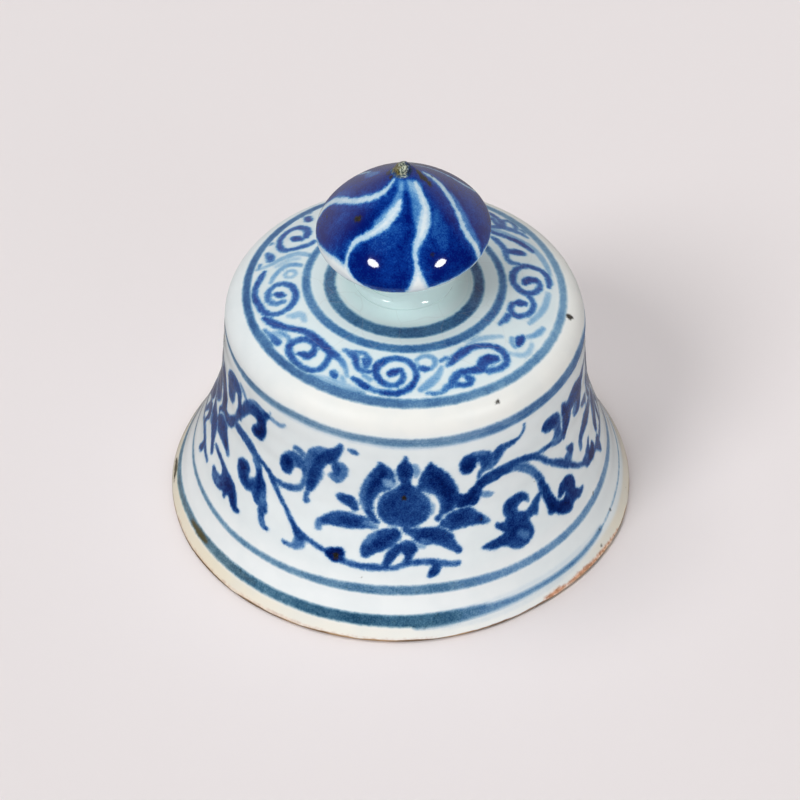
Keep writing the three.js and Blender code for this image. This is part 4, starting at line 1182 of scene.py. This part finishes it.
def flatten_for_bake(piece, rings, azimuth, row, rise, first, last):
    """A map for baking: three strips of wall, the crown as a disc, and the inside in what is left."""
    mesh = piece.data
    vertex = np.empty(len(mesh.loops), np.int32)
    mesh.loops.foreach_get("vertex_index", vertex)
    counts = np.empty(len(mesh.polygons), np.int32)
    mesh.polygons.foreach_get("loop_total", counts)
    starts = np.concatenate([[0], np.cumsum(counts)[:-1]])
    face = np.repeat(np.arange(len(counts)), counts)

    def least(values):
        return np.minimum.reduceat(values, starts)[face]

    def most(values):
        return np.maximum.reduceat(values, starts)[face]

    row, turn, up = row[vertex], azimuth[vertex], rise[vertex]
    turn = np.where((most(turn) - least(turn) > 180) & (turn < 0), turn + 360, turn)
    outside = (least(row) >= first) & (most(row) < last)
    on_strip = outside & (most(up) <= WALL_TOP)
    strip = np.floor((least(turn) + 180) / STRIP_TURN + 1e-4)
    strip_x = (turn + 180 - STRIP_TURN * strip) / STRIP_TURN * STRIP_LONG
    strip_y = up + STRIP_TALL * strip + BAKE_MARGIN / 2
    middle = BAKE_SIDE - DISC_RADIUS - BAKE_MARGIN
    out = (rise.max() - up) * DISC_RADIUS / (rise.max() - WALL_TOP)
    disc_x, disc_y = middle + out * np.sin(np.radians(turn)), middle - out * np.cos(np.radians(turn))
    order = np.r_[last - 1 : len(rings), 0 : first + 1]
    along = np.zeros(len(rings))
    along[order] = lengths(np.array([rings[i][:2] for i in order]))
    left = STRIP_LONG + BAKE_MARGIN
    inside_x = left + (turn + 180) / 360 * (BAKE_SIDE - left - BAKE_MARGIN)
    inside_y = BAKE_MARGIN + along[row] / along.max() * (middle - DISC_RADIUS - 4 * BAKE_MARGIN)
    x = np.where(on_strip, strip_x, np.where(outside, disc_x, inside_x))
    y = np.where(on_strip, strip_y, np.where(outside, disc_y, inside_y))
    uv = mesh.uv_layers.new(name="OFBake")
    uv.uv.foreach_set("vector", (np.stack([x, y], 1) / BAKE_SIDE).astype(np.float32).ravel())


KNOB_COLUMNS = 400
FAR_DOWN = 60.0  # mm: for the knob's hidden rings, which have no paint


def bud():
    shown = respaced(BUD_LINE, 0.45)
    top = shown[-1][1]
    half = KNOB_COLUMNS // 2
    rings = rings_of([(FOOT_RADIUS - 4, FOOT_UNDERSIDE), (FOOT_RADIUS - 0.3, FOOT_UNDERSIDE)], half)
    first = len(rings)
    rings += rings_of(shown, KNOB_COLUMNS)
    last = len(rings)
    rings += rings_of([(2, top), (1, top), (0.6, top - 2), (FOOT_RADIUS - 5, FOOT_UNDERSIDE + 1.5)], half)
    points, azimuth, faces = stacked(rings)
    row_down = np.full(len(rings), FAR_DOWN)
    row_down[first:last] = BUD_LENGTHS[-1] + POINT_RADIUS - lengths(shown)
    row_down[last : last + 2] = (2, 1)
    down = np.repeat(row_down, [n for _, _, n in rings])
    work = Brushwork(points, around(azimuth, down, 0)[:, :2], on_bud)
    paint_bud(work)
    piece = new_piece("knob_bud_glazed", leaning(points), faces, [make_glaze()])
    pool = smooth_step(14, 3, points[:, 2] - FOOT_UNDERSIDE)
    layers = spread([(np.arange(len(points)), work)], len(points))
    glaze_values(piece, pool=pool, cool=0.25, royal=1, **layers)
    return piece


def leaning(points):
    """Points of the knob, tipped a little to the left and forward above its foot, with a bent point."""
    above = points[:, 2] - FOOT_UNDERSIDE
    share = smooth_step(0, 7, above)
    lean, nod = math.radians(KNOB_LEAN), math.radians(KNOB_NOD)
    point = POINT_SHIFT * smooth_step(24, 36, above)
    sag = 0.25 * np.exp(-(((points[:, 0] + 5) / 9) ** 2)) * (points[:, 1] < 0) * smooth_step(22, 15, above)
    x = points[:, 0] + share * (KNOB_SHIFT - above * math.sin(lean)) + point
    y = points[:, 1] - share * above * math.sin(nod)
    z = points[:, 2] + share * (points[:, 0] * math.sin(lean) + points[:, 1] * math.sin(nod) - sag)
    return np.stack([x, y, z], 1)


def pellet():
    """The point: a small dome that its glaze has run down and blended into the bud."""
    radius, bottom, top = extent("knob_point_pellet")
    tall = top - bottom
    base = [(radius + 0.2, bottom - 0.9), (radius + 0.2, bottom - 0.2), (radius, bottom + 0.15)]
    dome = arc((0, bottom + 0.45 * tall), radius - 0.5, 0.55 * tall, 0, 86, 14)
    rings = rings_of([*base, (radius - 0.3, bottom + 0.25 * tall), *dome], 64)
    points, azimuth, faces = stacked(rings, capped=True)
    a = np.radians(azimuth)
    lumps = 1 + 0.05 * np.sin(3 * a + points[:, 2]) + 0.03 * np.sin(5 * a - 2 * points[:, 2])
    points = points * np.stack([lumps, lumps, np.ones_like(lumps)], 1)
    high_up = smooth_step(bottom, top, points[:, 2])
    points[:, 2] -= 0.5 * smooth_step(-0.5, 2.5, -points[:, 0]) * high_up
    points[:, 0] -= 0.5 * (1 - high_up)
    return new_piece("knob_point", leaning(points), faces, [make_point_glaze()])


BEAD_HEIGHT = 3.4  # mm up the cove
BEAD_WIDTH = 3.4  # mm out from the foot


def knob_bead():
    """Slip and glaze run together at the knob's foot, in one sweep from the cove to the crown."""
    height = FOOT_UNDERSIDE + BEAD_HEIGHT
    cove = BUD_LINE[:COVE_STEPS]
    start = np.array([np.interp(height, cove[:, 1], cove[:, 0]), height])
    end = np.array([FOOT_RADIUS + BEAD_WIDTH, CROWN_HEIGHT + 0.02])
    line = bezier(end, end - (2.6, 0), (start[0] + 0.55, start[1] - 1.9), start + (0.03, 0), 30)
    outline = [(FOOT_RADIUS - 2, CROWN_HEIGHT - 0.05), *line, (start[0] - 0.6, start[1] - 0.2)]
    points, _, faces = stacked(rings_of(outline, 240))
    piece = new_piece("knob_slip_bead", points, faces, [make_glaze()])
    radius = np.hypot(points[:, 0], points[:, 1])
    glaze_values(piece, pool=smooth_step(19, 13, radius), crazed=0.8)
    return piece


TUBE_COLUMNS = 160


def sleeve():
    """The sleeve, with the potter's finger ridges inside and outside."""
    outer, bottom, top = extent("inner_sleeve")
    inner = outer - SLEEVE_WALL
    heights = np.linspace(bottom + SLEEVE_EDGE, top, 60)
    ridges = SLEEVE_RIDGE * np.sin(heights * 1.7) * smooth_step(bottom, bottom + 4, heights)
    outline = [(inner + SLEEVE_EDGE, bottom), (outer - SLEEVE_EDGE, bottom)]
    outline += zip(outer - 0.1 + ridges, heights)
    outline += zip(inner + 0.1 - ridges[::-1], heights[::-1])
    points, _, faces = stacked(rings_of(outline, TUBE_COLUMNS))
    return new_piece("thrown_sleeve", points, faces, [make_biscuit()])


def sleeve_bead():
    """The slip that runs round the sleeve's top, inside and outside."""
    outer, bottom, top = extent("sleeve_slip_joint")
    sleeve_outer = extent("inner_sleeve")[0]
    sleeve_inner = sleeve_outer - SLEEVE_WALL
    bead = outer - sleeve_outer
    inside = arc((sleeve_inner - bead, bottom), bead, top - bottom, 88, 6, 8)
    outside = arc((outer, bottom), bead, top - bottom, 174, 92, 8)
    outline = [*inside, (sleeve_inner + 0.5, top - 0.9), (sleeve_outer - 0.5, top - 0.9), *outside]
    outline += [(outer, top), (sleeve_inner - bead, top)]
    points, _, faces = stacked(rings_of(outline, TUBE_COLUMNS))
    return new_piece("sleeve_slip_bead", points, faces, [make_biscuit()])


# Materials. Colours are linear.
WHITE_GLAZE = (0.8, 0.832, 0.837)
CREAM_GLAZE = (0.795, 0.8, 0.765)
# The crown's bluer glaze, also used as painted shade on the left of the roll.
COOL_GLAZE_AND_SHADE = (0.68, 0.77, 0.785)
POOL_GLAZE = (0.66, 0.84, 0.83)
RIM_GLAZE = (0.78, 0.71, 0.56)
KNOB_COBALT = (1.0, 0.53, 0.2)  # how strongly it takes red, green and blue
SCROLL_COBALT = (1.0, 0.64, 0.315)
SMOKY_COBALT = (1.0, 0.65, 0.48)
FULL_BRUSH = 5.0  # how much cobalt a full brush lays down
MOST_COBALT = 9.0
CLOUD = (0.55, 0.63, 0.66)
PEPPER = (0.02, 0.045, 0.05)
CRACKLE = (0.33, 0.33, 0.3)
IRON = (0.012, 0.012, 0.009)
IRON_EDGE = (0.05, 0.033, 0.018)
RUST, DEEP_RUST = (0.72, 0.36, 0.2), (0.45, 0.2, 0.1)
UMBER = (0.075, 0.06, 0.015)
CLAY, PALE_CLAY = (0.2, 0.12, 0.06), (0.42, 0.27, 0.15)


class Nodes:
    """A short way to write the nodes of a material or a world. A key such as i2 names input 2."""

    def __init__(self, owner):
        owner.use_nodes = True
        self.owner = owner
        self.tree = owner.node_tree
        self.tree.nodes.clear()

    def add(self, kind, settings=None, **inputs):
        node = self.tree.nodes.new(kind)
        for key, value in (settings or {}).items():
            setattr(node, key, value)
        for key, value in inputs.items():
            self.feed(node, key, value)
        return node

    def feed(self, node, key, value):
        socket = node.inputs[int(key[1:])] if key[0] == "i" and key[1:].isdigit() else node.inputs[key]
        if isinstance(value, bpy.types.NodeSocket):
            self.tree.links.new(value, socket)
        elif isinstance(value, tuple) and len(value) == 3 and socket.type == "RGBA":
            socket.default_value = (*value, 1)
        else:
            socket.default_value = value

    def attribute(self, name):
        return self.add("ShaderNodeAttribute", {"attribute_name": name}).outputs["Fac"]

    def math(self, operation, *values):
        node = self.add("ShaderNodeMath", {"operation": operation})
        for i, value in enumerate(values):
            self.feed(node, f"i{i}", value)
        return node.outputs[0]

    def plus(self, a, b):
        return self.math("ADD", a, b)

    def times(self, a, *others):
        for other in others:
            a = self.math("MULTIPLY", a, other)
        return a

    def step(self, value, low, high, out_low=0.0, out_high=1.0):
        """A smooth step of value from low to high."""
        inputs = {"i0": value, "i1": low, "i2": high, "i3": out_low, "i4": out_high}
        return self.add("ShaderNodeMapRange", {"interpolation_type": "SMOOTHSTEP"}, **inputs).outputs[0]

    def mix(self, factor, a, b):
        return self.add("ShaderNodeMix", {"data_type": "RGBA"}, i0=factor, i6=a, i7=b).outputs[2]

    def noise(self, place, scale, detail=2.0, roughness=0.5):
        inputs = {"Vector": place, "Scale": scale, "Detail": detail, "Roughness": roughness}
        return self.add("ShaderNodeTexNoise", **inputs).outputs["Fac"]

    def place(self):
        return self.add("ShaderNodeTexCoord").outputs["Object"]

    def ramp(self, value, stops):
        node = self.add("ShaderNodeValToRGB", i0=value)
        band = node.color_ramp
        while len(band.elements) < len(stops):
            band.elements.new(0.5)
        for element, (at, colour) in zip(band.elements, stops):
            element.position = at
            element.color = (*colour, 1)
        return node.outputs[0]

    def finish(self, colour, roughness, bump=None, specular=0.5):
        """The shader and the material's output."""
        shader = self.add("ShaderNodeBsdfPrincipled", Roughness=roughness)
        self.feed(shader, "Base Color", colour)
        shader.inputs["IOR"].default_value = 1.5
        shader.inputs["Specular IOR Level"].default_value = specular
        if bump:
            self.feed(shader, "Normal", bump.outputs[0])
        self.add("ShaderNodeOutputMaterial", Surface=shader.outputs[0])
        return self.owner


def new_material(name):
    return Nodes(bpy.data.materials.new(name))


def through(takes):
    """Stops of what is left of white light under more and more cobalt."""
    stops = (0, 0.05, 0.11, 0.19, 0.3, 0.45, 0.68, 1)
    return [(at, tuple(math.exp(-at * MOST_COBALT * t) for t in takes)) for at in stops]


@cache
def make_glaze():
    n = new_material("painted_glaze")
    place = n.place()
    fine = n.noise(place, 2600, 2, 0.6)
    medium = n.noise(place, 850, 2, 0.5)
    broad = n.noise(place, 150, 3, 0.5)
    wander = n.plus(n.times(n.plus(medium, -0.5), 0.8), n.times(n.plus(fine, -0.5), 0.25))

    def inside(layer, waver):
        """The distance inside a layer's strokes, with a wavering edge."""
        return n.plus(n.attribute(layer), n.times(wander, waver))

    dark_in = inside("dark", 1.0)
    dark_load = n.attribute("dark_load")
    royal, smoke = n.attribute("royal"), n.attribute("smoke")
    wash = n.step(inside("wash", 0.5), -0.6, 0.6)
    # Cobalt gathers in the middle of broad strokes, and in heaps: grains, brush marks and pale places.
    middle = n.step(dark_in, 0.2, 2.6, 0.8, 1.08)
    grain = n.step(fine, 0.3, 0.7, 0.84, 1.17)
    heap = n.step(medium, 0.32, 0.7, 0.92, 1.09)
    patch = n.step(broad, 0.35, 0.68, 0.88, 1.12)
    amount = n.times(n.step(dark_in, -0.55, 0.6), dark_load, middle)
    thin = n.times(wash, n.attribute("wash_load"))
    bleed = n.times(n.step(dark_in, -1.6, 0.2), dark_load, n.plus(n.times(royal, 0.06), 0.07))
    cobalt = n.times(n.plus(n.math("MAXIMUM", amount, thin), bleed), n.times(grain, heap, patch))
    share = n.times(cobalt, FULL_BRUSH / MOST_COBALT)
    scroll = n.mix(royal, n.ramp(share, through(SCROLL_COBALT)), n.ramp(share, through(KNOB_COBALT)))
    tint = n.mix(smoke, scroll, n.ramp(share, through(SMOKY_COBALT)))
    # The glaze: white, bluer on the crown, aqua where it pools, cream where it is thick or thin, and darker
    # on the left of the roll as painted shade.
    glaze = WHITE_GLAZE
    tones = (("cool", COOL_GLAZE_AND_SHADE), ("pool", POOL_GLAZE), ("cream", CREAM_GLAZE), ("thin", RIM_GLAZE))
    for name, tone in tones:
        glaze = n.mix(n.attribute(name), glaze, tone)
    cloudy = n.mix(n.step(broad, 0.35, 0.7, 0.0, 0.14), glaze, CLOUD)
    multiply = {"data_type": "RGBA", "blend_type": "MULTIPLY"}
    colour = n.add("ShaderNodeMix", multiply, i0=1.0, i6=cloudy, i7=tint).outputs[2]
    # Grains of burnt cobalt in the ruled lines.
    pepper = n.times(n.step(n.noise(place, 1100, 2, 0.6), 0.61, 0.69), smoke)
    colour = n.mix(n.times(pepper, wash, 0.5), colour, PEPPER)
    # A faint crackle.
    push = n.add("ShaderNodeTexNoise", Vector=place, Scale=70.0, Detail=2.0).outputs["Color"]
    scaled = n.add("ShaderNodeVectorMath", {"operation": "SCALE"}, i0=push, Scale=0.006).outputs[0]
    bend = n.add("ShaderNodeVectorMath", {"operation": "ADD"}, i0=place, i1=scaled).outputs[0]
    cells = n.add("ShaderNodeTexVoronoi", {"feature": "DISTANCE_TO_EDGE"}, Vector=bend, Scale=85.0)
    crack = n.step(cells.outputs["Distance"], 0.003, 0.012, 1.0, 0.0)
    colour = n.mix(n.times(crack, n.attribute("crazed"), 0.12), colour, CRACKLE)
    # Iron flecks, and pinholes.
    spots = n.add("ShaderNodeTexVoronoi", Vector=place, Scale=150.0)
    chosen = n.step(spots.outputs["Color"], 0.84, 0.86)
    speck = n.times(n.step(spots.outputs["Distance"], 0.02, 0.045, 1.0, 0.0), chosen, 0.5)
    iron = n.math("MAXIMUM", n.step(inside("iron", 1.6), -0.4, 0.35), speck)
    colour = n.mix(iron, colour, n.mix(n.step(fine, 0.5, 0.68), IRON, IRON_EDGE))
    # Stains, and the burnt line where the glaze ends at the rim.
    rust = n.mix(n.step(medium, 0.35, 0.65), RUST, DEEP_RUST)
    for name, waver, stain in (("rust", 2.0, rust), ("umber", 1.6, UMBER)):
        shown = n.times(n.step(inside(name, waver), -0.6, 0.5), n.attribute(name + "_load"))
        colour = n.mix(shown, colour, stain)
    bare_rim = n.step(n.plus(n.attribute("rise"), n.plus(broad, -0.5)), 0.05, 0.3, 1.0, 0.0)
    clay = n.mix(n.step(n.noise(place, 90, 3), 0.4, 0.62), CLAY, PALE_CLAY)
    colour = n.mix(bare_rim, colour, clay)
    gloss = n.plus(n.times(n.attribute("dull"), 0.36), 0.06)
    rough = n.add("ShaderNodeMapRange", i0=bare_rim, i3=gloss, i4=0.6).outputs[0]
    skin = n.plus(n.times(n.noise(place, 220, 2), 0.9), n.times(fine, 0.04))
    bump = n.add("ShaderNodeBump", Height=skin, Strength=0.2, Distance=0.0002)
    return n.finish(colour, rough, bump)


@cache
def make_biscuit():
    n = new_material("biscuit_clay")
    place = n.place()
    broad = n.noise(place, 40, 3)
    grit = n.noise(place, 1500, 3, 0.7)
    colour = n.mix(n.step(broad, 0.4, 0.7), (0.76, 0.68, 0.56), (0.68, 0.5, 0.33))
    colour = n.mix(n.step(grit, 0.62, 0.75, 0.0, 0.5), colour, (0.42, 0.3, 0.2))
    bands = {"bands_direction": "Z"}
    rings = n.add("ShaderNodeTexWave", bands, Vector=place, Scale=160.0, Distortion=1.2).outputs["Fac"]
    height = n.plus(n.times(rings, 0.5), n.times(grit, 0.35))
    bump = n.add("ShaderNodeBump", Height=height, Strength=0.5, Distance=0.0003)
    return n.finish(colour, 0.82, bump)


def make_point_glaze():
    """Iron brown at the left, speckled cream in the middle, navy at the right, and cobalt at the foot."""
    n = new_material("iron_point_glaze")
    place = n.place()
    across, _, up = n.add("ShaderNodeSeparateXYZ", i0=place).outputs
    coarse = n.noise(place, 700, 2, 0.6)
    fine = n.noise(place, 1900, 3, 0.7)
    x = n.plus(across, n.times(n.plus(coarse, -0.5), 0.003))
    cobalt = n.mix(n.step(fine, 0.4, 0.6), (0.008, 0.05, 0.16), (0.03, 0.13, 0.3))
    brown = n.mix(n.step(fine, 0.38, 0.58), (0.035, 0.035, 0.012), (0.17, 0.15, 0.055))
    cream = n.mix(n.step(fine, 0.46, 0.58), (0.05, 0.075, 0.06), (0.5, 0.54, 0.42))
    navy = n.mix(n.step(fine, 0.45, 0.65), (0.006, 0.012, 0.03), (0.03, 0.09, 0.24))
    colour = n.mix(n.step(x, -0.002, -0.0012), brown, cream)
    colour = n.mix(n.step(x, -0.0003, 0.0004), colour, navy)
    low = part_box("knob_point_pellet")[0].z
    edge = n.plus(up, n.times(n.plus(fine, -0.5), 0.002))
    colour = n.mix(n.step(edge, low - 0.0002, low + 0.0008, 1.0, 0.0), colour, cobalt)
    bump = n.add("ShaderNodeBump", Height=fine, Strength=0.4, Distance=0.0003)
    return n.finish(colour, 0.24, bump)


# The stage
FLOOR_COLOUR = (0.815, 0.767, 0.767)
FLOOR_REACH = 30.0  # m
ROOM_LIGHT = 0.118  # how strongly the room lights the object
LAMP_AIM = (0, 0, 0.08)  # m
LAMP_DISTANCE = 1.2  # m


def floor():
    mesh = bpy.data.meshes.new("floor")
    corners = [(x * FLOOR_REACH, y * FLOOR_REACH, 0) for x, y in ((-1, -1), (1, -1), (1, 1), (-1, 1))]
    mesh.from_pydata(corners, [], [(0, 1, 2, 3)])
    mesh.materials.append(new_material("pale_floor").finish(FLOOR_COLOUR, 0.9, specular=0.0))
    plane = placed("floor", mesh)
    plane.visible_glossy = False


def towards(azimuth, elevation):
    a, e = math.radians(azimuth), math.radians(elevation)
    return Vector((math.sin(a) * math.cos(e), -math.cos(a) * math.cos(e), math.sin(e)))


def soft_light(name, azimuth, elevation, angle, share, shadow=True):
    """A wide, distant light. share is what it adds to a surface that faces it."""
    light = bpy.data.lights.new(name, "SUN")
    light.energy = share * math.pi
    light.angle = math.radians(angle)
    light.use_shadow = shadow
    piece = placed(name, light)
    piece.rotation_euler = towards(azimuth, elevation).to_track_quat("Z", "Y").to_euler()
    piece.visible_glossy = False


def window(name, azimuth, elevation, size, power):
    """A lamp that only shows as a highlight in the glaze."""
    light = bpy.data.lights.new(name, "AREA")
    light.shape = "ELLIPSE"
    light.size, light.size_y = size
    light.energy = power
    piece = placed(name, light)
    away = towards(azimuth, elevation)
    piece.location = Vector(LAMP_AIM) + away * LAMP_DISTANCE
    piece.rotation_euler = away.to_track_quat("Z", "Y").to_euler()
    piece.visible_diffuse = False


def surroundings():
    """A plain pale room. It looks like the floor, lights the object a little from all sides, and the
    glaze mirrors it pale from behind and dark from the front."""
    world = bpy.data.worlds.new("studio")
    n = Nodes(world)
    path = n.add("ShaderNodeLightPath").outputs
    direction = n.add("ShaderNodeTexCoord").outputs["Generated"]
    _, y, z = n.add("ShaderNodeSeparateXYZ", i0=direction).outputs
    back = n.step(y, -0.1, 0.5, 0.03, 0.75)
    below = n.add("ShaderNodeMapRange", i0=z, i1=-0.5, i2=0.0, i3=0.4).outputs[0]
    mirrored = n.times(back, below)
    seen = n.add("ShaderNodeMix", i0=path["Is Glossy Ray"], i2=ROOM_LIGHT, i3=mirrored).outputs[0]
    strength = n.add("ShaderNodeMix", i0=path["Is Camera Ray"], i2=seen, i3=1.0).outputs[0]
    background = n.add("ShaderNodeBackground", i0=FLOOR_COLOUR, i1=strength).outputs[0]
    n.add("ShaderNodeOutputWorld", i0=background)
    bpy.context.scene.world = world


def lights():
    surroundings()
    soft_light("key", -46, 41, 22, 0.445)
    soft_light("upper_left", -110, 61, 26, 0.21)
    soft_light("overhead", 0, 90, 40, 0.26)
    soft_light("fill", 35, 20, 30, 0.4, shadow=False)
    window("left_window", -44, 31.8, (0.31, 0.17), 3.3)
    window("right_window", 49, 32, (0.29, 0.17), 3.3)


def camera():
    data = bpy.data.cameras.new("camera")
    data.sensor_width = 36
    data.lens = CAMERA_FOCUS / PHOTO_SIDE * data.sensor_width
    data.shift_x = -PHOTO_OFFSET[0] / PHOTO_SIDE
    data.shift_y = PHOTO_OFFSET[1] / PHOTO_SIDE
    piece = placed("camera", data)
    e = math.radians(CAMERA_ELEVATION)
    back = Vector((0, -math.cos(e), math.sin(e)))
    place = Vector(CAMERA_TARGET) * MM + back * CAMERA_DISTANCE * MM
    turn = back.to_track_quat("Z", "Y").to_matrix() @ Matrix.Rotation(math.radians(CAMERA_ROLL), 3, "Z")
    piece.matrix_world = Matrix.Translation(place) @ turn.to_4x4()
    bpy.context.scene.camera = piece


camera()
floor()
lights()
for piece, node, slot in (
    (bell(), "bell_shell", "glazed_porcelain"),
    (bud(), "knob_bud", "cobalt_glaze"),
    (pellet(), "knob_point_pellet", "iron_brown_glaze"),
    (knob_bead(), "knob_slip_joint", "glazed_porcelain"),
    (sleeve(), "inner_sleeve", "biscuit"),
    (sleeve_bead(), "sleeve_slip_joint", "biscuit"),
):
    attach(piece, "root")
    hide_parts(node)

bpy.context.scene.view_settings.view_transform = "Standard"
